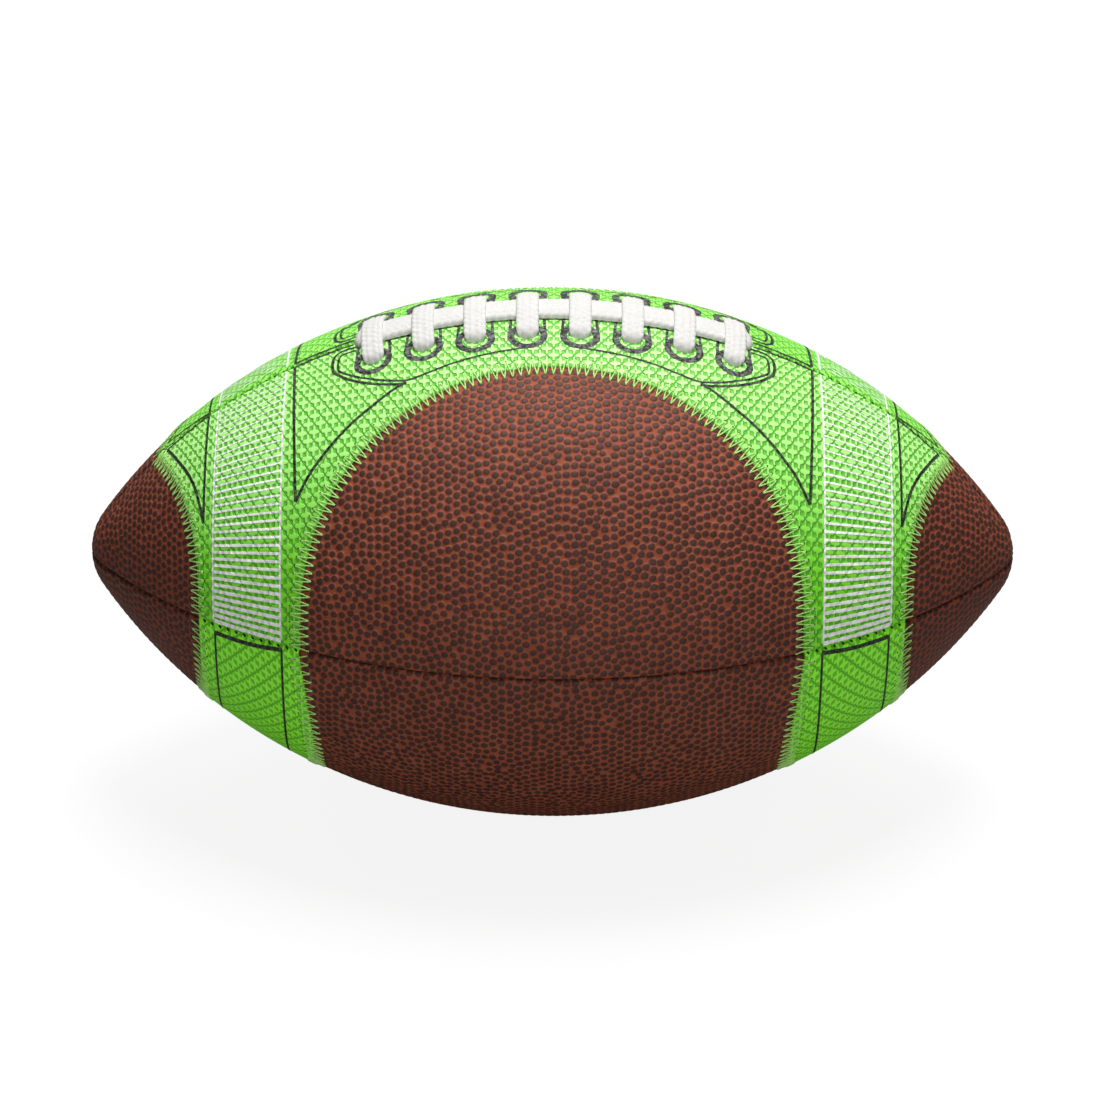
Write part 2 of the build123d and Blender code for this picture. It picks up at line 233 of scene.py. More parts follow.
@dataclass(frozen=True)
class Cover:
    """Where the cover's seams run and how its edges are turned."""

    ball: Ball = Ball()
    arch_radius: float = 76.4
    arch_drop: float = 40.3
    band_inner: float = 73.1
    band_bow_radius: float = 270.0
    band_outer: float = 108.6
    tip_curve_radius: float = 88.0
    tip_curve_drop: float = 26.0
    thickness: float = 1.8
    grip_rise: float = 0.5
    butt_gap: float = 0.1
    seam_roll: float = 1.4
    edge_round: float = 0.7
    edge_sink: float = 0.5
    tip_turn: float = math.radians(40)
    arch_places: int = 721
    tip_places: int = 401
    leg_places: int = 25
    band_places: int = 181
    band_rounds: int = 8

    def along(self, arc: Array) -> Array:
        """Distance along the axis from the middle, towards either end."""
        return np.abs(self.ball.meridian(arc, 0.0)[0])

    def flat(self, places: Array, panel: Panel) -> Array:
        """Arcs and angles as places on the flat panel."""
        across = self.ball.radius(places[..., 0]) * (places[..., 1] - panel.value)
        return np.stack((places[..., 0], across), -1)

    def mapped(self, arc: Array, angle: Array, panel: Panel) -> Array:
        """Places on the panel's flat map, which the grip's pattern follows."""
        return self.flat(np.stack((arc, angle), -1), panel) * (1, panel.hand)

    def across(self, arc: Array, angle: Array, panel: Panel) -> Array:
        """Distance from the panel's mid-line towards the lacing, on the panel's flat plane."""
        return self.ball.radius(arc) * np.sin(panel.value - angle)

    def arch_distance(self, arc: Array, angle: Array) -> Array:
        """Distance outside the arch of the upper inset."""
        along, rise = self.along(arc), self.across(arc, angle, Panel.UPPER) + self.arch_drop
        return np.where(rise > 0, np.hypot(along, rise), along) - self.arch_radius

    def tip_distance(self, arc: Array, angle: Array) -> Array:
        """Distance past the upper tip seam, towards the tip.

        Args:
            arc: The places' arcs.
            angle: Their angles.

        Returns:
            One distance for each place.
        """
        along = self.along(arc)
        rise = self.across(arc, angle, Panel.UPPER) + self.tip_curve_drop
        centre = self.band_outer + self.tip_curve_radius - along
        return np.where(rise > 0, self.tip_curve_radius - np.hypot(centre, rise), along - self.band_outer)

    def band_distance(self, arc: Array, angle: Array) -> Array:
        """Distance past the inner band seam, towards the tip."""
        centre = self.band_inner + self.band_bow_radius - self.along(arc)
        return self.band_bow_radius - np.hypot(centre, self.across(arc, angle, Panel.LOWER))

    def end_distance(self, arc: Array, angle: Array) -> Array:
        """Distance past the outer band seam of the lower panels, towards the tip."""
        return self.along(arc) - self.band_outer

    def seam_distance(self, arc: Array, angle: Array, panel: Panel) -> Array:
        """Distance from the nearer lengthwise seam of a panel."""
        return self.ball.radius(arc) * (math.pi / 4 - np.abs(angle - panel.value))

    def rolled(self, distance: Array, radius: float, depth: float) -> Array:
        """How far an edge is rolled down.

        Args:
            distance: Distances in from the edge.
            radius: Width of the rolled strip.
            depth: Depth of the roll at the edge itself.

        Returns:
            The depths, nothing past the rolled strip.
        """
        short = np.clip(1 - distance / radius, 0, 1)
        return depth * (1 - np.sqrt(1 - short**2))

    def seam_angle(self, arc: Array, panel: Panel, end: int) -> Array:
        """Angle of a panel's edge at its first (-1) or second (1) seam, half a butt gap short of it."""
        gap = self.butt_gap / 2 / np.maximum(self.ball.radius(arc), self.butt_gap)
        return panel.value + end * (math.pi / 4 - gap)

    def on_upper(self, along: Array, across: Array) -> Array:
        """Arc and angle of points on the upper panel's flat plane.

        Args:
            along: Their distances along the axis.
            across: Their distances from the panel's mid-line.

        Returns:
            An arc and an angle for each point.
        """
        arc = self.ball.arc(along)
        lean = np.arcsin(np.clip(across / self.ball.radius(arc), -1, 1))
        return np.stack((arc, Panel.UPPER.value - lean), -1)

    def arch_line(self, gap: float) -> Array:
        """The arch, drawn in by a gap, as arcs and angles from its left foot to its right foot.

        Args:
            gap: How far it is drawn in.

        Returns:
            The arcs and angles along it.
        """
        radius = self.arch_radius - gap
        turn = np.linspace(-math.pi / 2, math.pi / 2, self.arch_places)
        arch = self.on_upper(radius * np.sin(turn), radius * np.cos(turn) - self.arch_drop)
        leg = self.leg(arch)
        return np.concatenate((leg, arch, (leg * (-1, 1))[::-1]))

    def leg(self, curve: Array) -> Array:
        """The straight leg from the side seam to a curve's first place, without that place."""
        climb = np.linspace(self.seam_angle(curve[:1, 0], Panel.UPPER, 1)[0], curve[0, 1], self.leg_places)
        return np.stack((np.full(self.leg_places, curve[0, 0]), climb), -1)[:-1]

    def tip_line(self, side: Side, gap: float) -> Array:
        """The upper tip seam, moved out by a gap, as arcs and angles from the side seam to the lacing.

        Args:
            side: The end of the ball.
            gap: How far the seam is moved.

        Returns:
            The arcs and angles along it.
        """
        turn = np.linspace(0, self.tip_turn, self.tip_places)
        along = self.band_outer + gap + self.tip_curve_radius * (1 - np.cos(turn))
        curve = self.on_upper(along, self.tip_curve_radius * np.sin(turn) - self.tip_curve_drop)
        curve = curve[curve[:, 1] > self.seam_angle(curve[:, 0], Panel.UPPER, -1)]
        last = np.array([[curve[-1, 0], self.seam_angle(curve[-1:, 0], Panel.UPPER, -1)[0]]])
        return np.concatenate((self.leg(curve), curve, last)) * (side.value, 1)

    def band_line(self, side: Side, gap: float) -> Array:
        """The inner band seam, moved in by a gap, as arcs and angles from the side seam to the bottom.

        Args:
            side: The end of the ball.
            gap: How far the seam is moved.

        Returns:
            The arcs and angles along it.
        """
        angle = np.linspace(math.pi / 2, math.pi, self.band_places)
        along = np.full_like(angle, self.band_inner)
        radius = self.band_bow_radius + gap
        for _ in range(self.band_rounds):
            rise = self.across(self.ball.arc(along), angle, Panel.LOWER)
            along = self.band_inner + self.band_bow_radius - np.sqrt(radius**2 - rise**2)
        return np.stack((side.value * self.ball.arc(along), angle), -1)

    def end_line(self, side: Side, gap: float) -> Array:
        """The outer band seam, moved out by a gap, as arcs and angles from the side seam to the bottom."""
        angle = np.linspace(math.pi / 2, math.pi, self.band_places)
        return np.stack((side.value * self.ball.arc(np.full_like(angle, self.band_outer + gap)), angle), -1)


def linear(colour: str) -> tuple[float, float, float, float]:
    """Turns an sRGB hex colour to linear values.

    Args:
        colour: Six hex digits after a #.

    Returns:
        Linear red, green and blue, and a full alpha.
    """
    parts = [int(colour[at : at + 2], 16) / 255 for at in (1, 3, 5)]
    return (*(c / 12.92 if c <= 0.04045 else ((c + 0.055) / 1.055) ** 2.4 for c in parts), 1.0)


def node(tree: bpy.types.NodeTree, kind: str, settings: dict, links: dict) -> bpy.types.Node:
    """Adds a node with its settings and links.

    Args:
        tree: The node tree to add to.
        kind: The node's type, without its first words.
        settings: Values for the node's own properties.
        links: A value, or a socket to link, for each input by its name or number.

    Returns:
        The new node.
    """
    made = tree.nodes.new(f"ShaderNode{kind}")
    for name, value in settings.items():
        setattr(made, name, value)
    for name, value in links.items():
        if isinstance(value, bpy.types.NodeSocket):
            tree.links.new(value, made.inputs[name])
        else:
            made.inputs[name].default_value = value
    return made


def grow(owner: bpy.types.ID, rows: list) -> None:
    """Gives a material or a world its nodes.

    Args:
        owner: The material or world.
        rows: The name, kind, settings and links of each node. A word among the links names an earlier
            node, with an output's name or number after a point where it isn't the first output.
    """
    owner.use_nodes = True
    owner.node_tree.nodes.clear()
    outputs = {}
    for name, kind, settings, links in rows:
        sockets = {}
        for key, value in links.items():
            if isinstance(value, str):
                source, _, output = value.partition(".")
                value = outputs[source][int(output) if output.isdigit() else output or 0]
            sockets[key] = value
        outputs[name] = node(owner.node_tree, kind, settings, sockets).outputs


@dataclass(frozen=True)
class Finish:
    """A finish: a name, and a material made the first time that it is asked for."""

    name: str

    def material(self) -> bpy.types.Material:
        """The finish's material, made once.

        Returns:
            The material.
        """
        made = bpy.data.materials.get(self.name)
        if made is None:
            made = bpy.data.materials.new(self.name)
            grow(made, [*self.rows(), ("output", "OutputMaterial", {}, {"Surface": "shader"})])
        return made

    def rows(self) -> list:
        """The finish's nodes as rows for grow, with its shader under the name shader."""
        raise NotImplementedError


@dataclass(frozen=True)
class PebbledLeather(Finish):
    """Tanned cowhide pressed with round pebbles: dark worn tops on a redder ground."""

    name: str = "pebbled_cowhide"
    pebble: str = "#4A2A21"
    ground: str = "#924A30"
    dusk: str = "#D8CCC4"
    edge_low: float = 0.86
    edge_high: float = 1.08
    dome_foot: float = 1.4
    dome_top: float = 0.7
    patch: float = 14.0
    pore: float = 0.45
    pore_share: float = 0.14
    shade_low: float = 0.4
    shade_high: float = 1.6
    ground_roughness: float = 0.7
    pebble_roughness: float = 0.6
    specular: float = 0.3
    bump: float = 0.8
    bump_height: float = 0.32

    def rows(self) -> list:
        """The leather's nodes.

        Returns:
            Rows for grow.
        """
        top = {"Value": "pebble.Fac", "From Min": self.edge_high, "From Max": self.edge_low}
        noise = {"Vector": "place.Object", "Detail": 3.0}
        patches = {**noise, "Scale": 1 / (self.patch * MM), "Roughness": 0.6}
        pores = {**noise, "Scale": 1 / (self.pore * MM), "Roughness": 0.65}
        shade = {"Value": "mood", "From Min": self.shade_low, "From Max": self.shade_high}
        dusk = {0: "shade", 6: "base.2", 7: linear(self.dusk)}
        rough = {"Value": "top", "To Min": self.ground_roughness, "To Max": self.pebble_roughness}
        dome = {"Value": "pebble.Fac", "From Min": self.dome_foot, "From Max": self.dome_top}
        bump = {"Strength": self.bump, "Distance": self.bump_height * MM, "Height": "height"}
        gloss = {"Roughness": "rough", "Specular IOR Level": self.specular, "Normal": "bump"}
        return [
            PLACE,
            ("pebble", "Attribute", {"attribute_name": PEBBLE}, {}),
            ("tone", "Attribute", {"attribute_name": TONE_AND_PAINTED_LIGHT}, {}),
            ("top", "MapRange", SMOOTH, top),
            ("patches", "TexNoise", {}, patches),
            ("pores", "TexNoise", {}, pores),
            ("base", "Mix", COLOURS, {0: "top", 6: linear(self.ground), 7: linear(self.pebble)}),
            # Besides random tone, this attribute carries painted shade at the tips and painted light near
            # the lacing.
            ("mood", "Math", {"operation": "ADD"}, {0: "patches", 1: "tone.Fac"}),
            ("shade", "MapRange", {}, shade),
            ("colour", "Mix", {**COLOURS, "blend_type": "MULTIPLY"}, dusk),
            ("rough", "MapRange", {}, rough),
            ("dome", "MapRange", SMOOTH, dome),
            ("height", "Math", {"operation": "MULTIPLY_ADD"}, {0: "pores", 1: self.pore_share, 2: "dome"}),
            ("bump", "Bump", {}, bump),
            ("shader", "BsdfPrincipled", {}, {"Base Color": "colour.2", **gloss}),
        ]


@dataclass(frozen=True)
class GripPattern:
    """The moulded crosses of the grip: staggered rows of blunt-armed crosses, parted by fine channels.

    Four-sided pits lie between the arms. A file is a slanting line of crosses, and a pace is a slanting
    line the other way.
    """

    pitch: float = 4.15
    row: float = 3.0
    pit: Span = (0.68, 0.86)
    squareness: float = 2.6
    pit_ends: Span = (0.35, 1.4)
    pit_least: float = 0.14
    dip: float = 0.7
    file_channel: float = 0.062
    pace_channel: float = 0.05
    channel_ends: Span = (0.4, 1.7)
    file_least: float = 0.0
    pace_least: float = 0.2
    depth: float = 0.14

    def surface(self, flat: Array, rise: float) -> Array:
        """Height of the moulded surface over the leather's.

        Args:
            flat: Places on the flat panel.
            rise: How far the tops of the crosses rise.

        Returns:
            One height for each place.
        """
        along, across = np.abs(flat[..., 0]) / self.pitch, flat[..., 1] / (2 * self.row)
        dips = []
        for shift in (0.0, 0.5):
            file = ((along + across + shift) % 1) - 0.5
            pace = ((along - across + 0.5 - shift) % 1) - 0.5
            beside = np.abs(file + pace) * self.pitch / 2 / self.pit[0]
            above = np.abs(file - pace) * self.row / self.pit[1]
            dips.append(np.exp(-self.dip * (beside**self.squareness + above**self.squareness)))
        return rise + self.depth * (1 - np.maximum(*dips)) - self.depth

    def sums(self) -> list:
        """The arithmetic of the pattern, from a place on the flat map.

        Returns:
            For each sum its name, the value it starts from, and its steps: an operation and the further
            number or value that it takes, if any.
        """
        centred = (("FRACT",), ("SUBTRACT", 0.5))
        power = ("POWER", self.squareness)
        wide, high = self.pitch / 2 / self.pit[0], self.row / self.pit[1]
        found = [
            ("columns", "split.0", (("ABSOLUTE",), ("DIVIDE", self.pitch))),
            ("rows", "split.1", (("DIVIDE", 2 * self.row),)),
            ("files", "columns", (("ADD", "rows"),)),
            ("paces", "columns", (("SUBTRACT", "rows"),)),
            ("file_line", "files", (*centred, ("ABSOLUTE",))),
            ("pace_line", "paces", (*centred, ("ABSOLUTE",))),
        ]
        for name, shift in (("even", 0.0), ("odd", 0.5)):
            file, pace, above = f"{name}_file", f"{name}_pace", f"{name}_above"
            beside = ("ADD", pace), ("ABSOLUTE",), ("MULTIPLY", wide), power
            found += [
                (file, "files", (("ADD", shift), *centred)),
                (pace, "paces", (("ADD", 0.5 - shift), *centred)),
                (above, file, (("SUBTRACT", pace), ("ABSOLUTE",), ("MULTIPLY", high), power)),
                (f"{name}_pit", file, (*beside, ("ADD", above))),
            ]
        return found

    def rows(self) -> list:
        """The pattern's nodes.

        Returns:
            Rows for grow. The last, cross, is 1 on top of the crosses and falls off in pits and channels.
        """
        found = [("map", "UVMap", {"uv_map": FLAT_MAP}, {}), ("split", "SeparateXYZ", {}, {0: "map"})]
        for name, value, steps in self.sums():
            for at, (operation, *rest) in enumerate(steps, 1):
                links = dict(enumerate((value, *rest)))
                value = name if at == len(steps) else f"{name}_{at}"
                found.append((value, "Math", {"operation": operation}, links))
        for name, least, ends in (
            ("file_line", self.file_least, [self.file_channel * end for end in self.channel_ends]),
            ("pace_line", self.pace_least, [self.pace_channel * end for end in self.channel_ends]),
            ("even_pit", self.pit_least, self.pit_ends),
            ("odd_pit", self.pit_least, self.pit_ends),
        ):
            links = {"Value": name, "From Min": ends[0], "From Max": ends[1], "To Min": least}
            found.append((f"{name}_level", "MapRange", SMOOTH, links))
        lowest = {"operation": "MINIMUM"}
        return found + [
            ("channels", "Math", lowest, {0: "file_line_level", 1: "pace_line_level"}),
            ("dips", "Math", lowest, {0: "channels", 1: "even_pit_level"}),
            ("cross", "Math", lowest, {0: "dips", 1: "odd_pit_level"}),
        ]


@dataclass(frozen=True)
class TackyGrip(Finish):
    """Moulded polyurethane with raised crosses: bright, slightly waxy tops and deep green gaps, whose
    darker green is a painted shade of the recesses.
    """

    name: str = "moulded_polyurethane_grip"
    top: str = "#80E42D"
    # Colour of the painted sheen on the crosses towards the lacing.
    pale: str = "#B6F48E"
    gap: str = "#50B41C"
    glow: float = 0.0
    pattern: GripPattern = GripPattern()
    patch: float = 9.0
    patch_low: float = 0.3
    patch_high: float = 0.7
    patch_least: float = 0.86
    gap_roughness: float = 0.6
    top_roughness: float = 0.4
    specular: float = 0.35
    bump_height: float = 0.5

    def rows(self) -> list:
        """The grip's nodes.

        Returns:
            Rows for grow.
        """
        patches = {"Vector": "place.Object", "Scale": 1 / (self.patch * MM), "Detail": 4.0}
        ends = {"From Min": self.patch_low, "From Max": self.patch_high, "To Min": self.patch_least}
        rough = {"Value": "cross", "To Min": self.gap_roughness, "To Max": self.top_roughness}
        bump = {"Strength": 1.0, "Distance": self.bump_height * MM, "Height": "cross"}
        gloss = {"Roughness": "rough", "Specular IOR Level": self.specular, "Normal": "bump"}
        # Painted glow: the grip gives out its top colour as light, as strong as the glow says.
        glow = {"Emission Color": linear(self.top), "Emission Strength": self.glow}
        return [
            PLACE,
            *self.pattern.rows(),
            ("patches", "TexNoise", {}, patches),
            ("worn", "MapRange", {}, {"Value": "patches", **ends}),
            ("share", "Math", {"operation": "MULTIPLY"}, {0: "cross", 1: "worn"}),
            # Painted sheen: the raised crosses turn from the top colour to the pale one towards the lacing.
            ("bloom", "Attribute", {"attribute_name": TONE_AND_PAINTED_LIGHT}, {}),
            ("raised", "Mix", COLOURS, {0: "bloom.Fac", 6: linear(self.top), 7: linear(self.pale)}),
            # Painted shade: pits and channels take the darker gap colour.
            ("colour", "Mix", COLOURS, {0: "share", 6: linear(self.gap), 7: "raised.2"}),
            ("rough", "MapRange", {}, rough),
            ("bump", "Bump", {}, bump),
            ("shader", "BsdfPrincipled", {}, {"Base Color": "colour.2", **gloss, **glow}),
        ]


@dataclass(frozen=True)
class PrintedInk(Finish):
    """Screen-printed ink on the grip: it covers the crosses and thins out in the gaps."""

    name: str = "screen_print_ink"
    ink: str = "#1B1E1B"
    worn: str = "#3B4238"
    gap: str = "#2C5A18"
    gap_share: float = 0.5
    pattern: GripPattern = GripPattern()
    fleck: float = 0.7
    wear_low: float = 0.42
    wear_high: float = 0.62
    roughness: float = 0.6
    specular: float = 0.3
    bump: float = 0.6
    bump_height: float = 0.35

    def rows(self) -> list:
        """The ink's nodes.

        Returns:
            Rows for grow.
        """
        flecks = {"Vector": "place.Object", "Scale": 1 / (self.fleck * MM), "Detail": 2.0}
        wear = {"Value": "flecks", "From Min": self.wear_low, "From Max": self.wear_high}
        bump = {"Strength": self.bump, "Distance": self.bump_height * MM, "Height": "cross"}
        gloss = {"Roughness": self.roughness, "Specular IOR Level": self.specular, "Normal": "bump"}
        return [
            PLACE,
            *self.pattern.rows(),
            ("flecks", "TexNoise", {}, flecks),
            ("wear", "MapRange", {}, wear),
            ("covered", "Mix", COLOURS, {0: "wear", 6: linear(self.ink), 7: linear(self.worn)}),
            ("thin", "MapRange", {}, {"Value": "cross", "To Min": self.gap_share, "To Max": 0.0}),
            ("colour", "Mix", COLOURS, {0: "thin", 6: "covered.2", 7: linear(self.gap)}),
            ("bump", "Bump", {}, bump),
            ("shader", "BsdfPrincipled", {}, {"Base Color": "colour.2", **gloss}),
        ]


@dataclass(frozen=True)
class SpunYarn(Finish):
    """Twisted or braided yarn: soft, matt and a little uneven."""

    name: str = "spun_yarn"
    light: str = "#D3F0B4"
    dark: str = "#9CCB70"
    fibre: float = 0.5
    depth: float = 0.08
    fuzz: float = 0.15
    fibre_low: float = 0.35
    fibre_high: float = 0.65
    roughness: float = 0.85
    specular: float = 0.25
    bump: float = 0.5
    fuzz_roughness: float = 0.6

    def rows(self) -> list:
        """The yarn's nodes.

        Returns:
            Rows for grow.
        """
        fibres = {"Vector": "place.Object", "Scale": 1 / (self.fibre * MM), "Detail": 4.0, "Roughness": 0.7}
        share = {"Value": "fibres", "From Min": self.fibre_low, "From Max": self.fibre_high}
        bump = {"Strength": self.bump, "Distance": self.depth * MM, "Height": "fibres"}
        gloss = {"Roughness": self.roughness, "Specular IOR Level": self.specular, "Normal": "bump"}
        fuzz = {"Sheen Weight": self.fuzz, "Sheen Roughness": self.fuzz_roughness}
        return [
            PLACE,
            ("fibres", "TexNoise", {}, fibres),
            ("share", "MapRange", {}, share),
            ("colour", "Mix", COLOURS, {0: "share", 6: linear(self.dark), 7: linear(self.light)}),
            ("bump", "Bump", {}, bump),
            ("shader", "BsdfPrincipled", {}, {"Base Color": "colour.2", **gloss, **fuzz}),
        ]


@dataclass(frozen=True)
class WovenCotton(Finish):
    """Plain-woven cotton lining: two sets of threads at right angles."""

    name: str = "plain_woven_cotton"
    light: str = "#D9CFB8"
    dark: str = "#A79B80"
    thread: float = 0.9
    wave: float = 0.314  # length of one band of the wave texture at a scale of 1
    unevenness: float = 0.6
    roughness: float = 0.9
    specular: float = 0.2
    bump: float = 0.5
    bump_height: float = 0.2

    def rows(self) -> list:
        """The weave's nodes.

        Returns:
            Rows for grow.
        """
        scale = self.wave / (2 * self.thread * MM)
        threads = {"Vector": "place.Object", "Scale": scale, "Distortion": self.unevenness}
        bump = {"Strength": self.bump, "Distance": self.bump_height * MM, "Height": "weave"}
        gloss = {"Roughness": self.roughness, "Specular IOR Level": self.specular, "Normal": "bump"}
        return [
            PLACE,
            ("warp", "TexWave", {"bands_direction": "X"}, threads),
            ("weft", "TexWave", {"bands_direction": "Z"}, threads),
            ("weave", "Math", {"operation": "MULTIPLY"}, {0: "warp.Fac", 1: "weft.Fac"}),
            ("colour", "Mix", COLOURS, {0: "weave", 6: linear(self.dark), 7: linear(self.light)}),
            ("bump", "Bump", {}, bump),
            ("shader", "BsdfPrincipled", {}, {"Base Color": "colour.2", **gloss}),
        ]


@dataclass(frozen=True)
class MottledSheet(Finish):
    """A plain sheet or moulding with a fine mottle: suede, butyl or moulded rubber."""

    name: str = "butyl_rubber"
    light: str = "#2B2B2C"
    dark: str = "#1A1A1B"
    mottle: float = 2.0
    depth: float = 0.1
    roughness: float = 0.6
    specular: float = 0.4
    unevenness: float = 0.1
    bump: float = 0.4

    def rows(self) -> list:
        """The sheet's nodes.

        Returns:
            Rows for grow.
        """
        noise = {"Vector": "place.Object", "Detail": 5.0, "Roughness": 0.6}
        mottle = {**noise, "Scale": 1 / (self.mottle * MM)}
        ends = {"To Min": self.roughness - self.unevenness, "To Max": self.roughness + self.unevenness}
        bump = {"Strength": self.bump, "Distance": self.depth * MM, "Height": "mottle"}
        gloss = {"Roughness": "rough", "Specular IOR Level": self.specular, "Normal": "bump"}
        return [
            PLACE,
            ("mottle", "TexNoise", {}, mottle),
            ("colour", "Mix", COLOURS, {0: "mottle", 6: linear(self.dark), 7: linear(self.light)}),
            ("rough", "MapRange", {}, {"Value": "mottle", **ends}),
            ("bump", "Bump", {}, bump),
            ("shader", "BsdfPrincipled", {}, {"Base Color": "colour.2", **gloss}),
        ]


@dataclass(frozen=True)
class MattPaper(Finish):
    """A matt paper floor: it shows pale to the camera and throws little light back up."""

    name: str = "matt_paper"
    dull: str = "#8E8E8E"
    pale: str = "#FAFAFA"
    white: str = "#FFFFFF"
    glow: float = 0.88

    def rows(self) -> list:
        """The paper's nodes.

        Returns:
            Rows for grow.
        """
        return [
            ("rays", "LightPath", {}, {}),
            ("dull", "BsdfDiffuse", {}, {"Color": linear(self.dull)}),
            ("pale", "BsdfDiffuse", {}, {"Color": linear(self.pale)}),
            ("white", "Emission", {}, {"Color": linear(self.white), "Strength": 1.0}),
            ("lit", "MixShader", {}, {0: self.glow, 1: "pale", 2: "white"}),
            ("shader", "MixShader", {}, {0: "rays.Is Camera Ray", 1: "dull", 2: "lit"}),
        ]


# Tanned hide, pressed under heat: dark burnished pebbles on a red-brown ground, with a low sheen.
LEATHER = PebbledLeather()
# Polyurethane, moulded in crosses: a bright green, waxy to the eye, that deepens in every gap, where the
# darker green is a painted shade.
# Its crosses also turn paler towards the lacing, a painted sheen.
GRIP = TackyGrip()
# The same with a painted glow: a faint green light of its own keeps the bands bright where little light
# falls, and darker gaps paint more shade.
BAND_GRIP_WITH_PAINTED_GLOW = TackyGrip("moulded_fluorescent_polyurethane_grip", top="#8AF032", gap="#3F9A14", glow=0.12)
# Ink, screen printed over the crosses: thin black lines, broken where they cross a gap.
BLACK_INK = PrintedInk("black_screen_print_ink", "#0A0C0A", "#465040", "#1E3A12", 0.4, fleck=1.0)
# The same ink where the lace rubs it: black, flecked with grey.
RING_INK = PrintedInk("rubbed_black_screen_print_ink", "#0B0B0B", "#6C6E69", "#222C1C", 0.3, fleck=1.1)
# White ink: clean on the crosses, tinted by the green in the gaps.
WHITE_INK = PrintedInk("white_screen_print_ink", "#F8F9F6", "#EEF1EB", "#B4D8A2", 0.25)
# Twisted polyester: a pale green thread with a soft, even surface.
ZIGZAG_YARN = SpunYarn("green_polyester_thread", "#BCEA8C", "#94CA62", 0.5, 0.06, 0.0)
# A dull dot of dark green: a painted shade where the needle's hole is, with no hole cut.
NEEDLE_HOLE_SHADE = MottledSheet("punched_needle_hole", "#2F6A12", "#1B4208", 0.4, 0.02, 0.8, 0.1)
# Waxed thread deep in the lengthwise seams, nearly black: its dark colour also paints the shade of the
# seams' grooves.
SEAM_YARN = SpunYarn("brown_waxed_thread", "#2C1610", "#1C0D09", 0.5, 0.06, 0.0)
# Braided cotton: white, matt and a little fuzzy.
LACE_YARN = SpunYarn("braided_cotton_lace", "#C9C8C5", "#BEBCB8", 0.9, 0.05, 0.2)
# Woven cotton: unbleached, with both sets of threads in sight.
COTTON = WovenCotton()
# Split suede: brown, with a coarse nap.
SUEDE = MottledSheet("split_suede", "#8A6A4B", "#6B4F37", 1.2, 0.15, 0.9, 0.2)
# Butyl sheet: smooth black rubber with a faint cloud.
BUTYL = MottledSheet()
# Moulded rubber: dark brown, with a soft shine.
VALVE_RUBBER = MottledSheet("moulded_valve_rubber", "#3A322D", "#241E1B", 1.5, 0.06, 0.55, 0.45)
# Matt paper: a plain pale floor that keeps the ball's shadow.
FLOOR_PAPER = MattPaper()

# The CAD nodes that are carried over as they are, by the finish that they wear.
CARRIED_OVER = {
    COTTON: ("upper_front_lining", "lower_front_lining", "upper_rear_lining", "lower_rear_lining"),
    SUEDE: ("front_lace_facing", "rear_lace_facing", "valve_patch"),
    BUTYL: ("bladder",),
    VALVE_RUBBER: ("valve_housing", "valve_core"),
}


def finish_piece(piece: Piece, finish: Finish, slot: str, *nodes: str) -> None:
    """Dresses a finished piece and ties it to the frame.

    Args:
        piece: The piece's object.
        finish: The finish it wears.
        slot: The record's material slot it belongs to; not used.
        nodes: The CAD nodes that it stands for.
    """
    piece.data.materials.clear()
    piece.data.materials.append(finish.material())
    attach(piece, BODY)
    if nodes:
        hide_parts(*nodes)
    log.info("%s: %d faces in %s", piece.name, len(piece.data.polygons), finish.name)


def select_only(piece: Piece) -> None:
    """Makes a piece the only selected and the active object.

    Args:
        piece: The piece's object.
    """
    bpy.ops.object.select_all(action="DESELECT")
    piece.select_set(True)
    bpy.context.view_layer.objects.active = piece


def added(name: str, data: bpy.types.ID) -> Piece:
    """Puts a new object into the scene.

    Args:
        name: The object's name.
        data: Its mesh, curve, lamp or camera.

    Returns:
        The new object.
    """
    made = bpy.data.objects.new(name, data)
    bpy.context.scene.collection.objects.link(made)
    return made


def new_mesh(name: str, points: Array, faces: list, crease: float) -> Piece:
    """Makes a smooth mesh object at the origin.

    Args:
        name: The object's name.
        points: Its points, in metres.
        faces: The points of each face, in order.
        crease: Edges sharper than this, in degrees, stay sharp.

    Returns:
        The new object, selected and active.
    """
    mesh = bpy.data.meshes.new(name)
    mesh.from_pydata(points.tolist(), [], faces)
    piece = added(name, mesh)
    select_only(piece)
    bpy.ops.object.shade_smooth_by_angle(angle=math.radians(crease))
    return piece


def edited(piece: Piece, steps: tuple) -> None:
    """Works on the whole of a piece in edit mode.

    Args:
        piece: The piece's object.
        steps: Each operator to run, and its settings.
    """
    select_only(piece)
    bpy.ops.object.mode_set(mode="EDIT")
    bpy.ops.mesh.select_all(action="SELECT")
    for operator, settings in steps:
        operator(**settings)
    bpy.ops.object.mode_set(mode="OBJECT")


def quads(index: Array) -> Array:
    """The four-sided faces of a grid of point numbers."""
    parts = index[:-1, :-1], index[:-1, 1:], index[1:, 1:], index[1:, :-1]
    return np.stack(parts, -1).reshape(-1, 4)


def faces_out(corner: Array, axis_height: float) -> bool:
    """Tells whether a face looks away from the ball's long axis.

    Args:
        corner: The face's corners, in metres.
        axis_height: The height of the axis, in millimetres.

    Returns:
        True where the face looks outwards.
    """
    facing = np.cross(corner[1] - corner[0], corner[2] - corner[0])
    outwards = corner[0] * (0, 1, 1) - (0, 0, axis_height * MM)
    return bool(facing @ outwards >= 0)


def set_values(piece: Piece, name: str, values: Array) -> None:
    """Stores one number for each point of a piece under a name."""
    kept = piece.data.attributes.new(name, "FLOAT", "POINT")
    kept.data.foreach_set("value", np.asarray(values, np.float32))


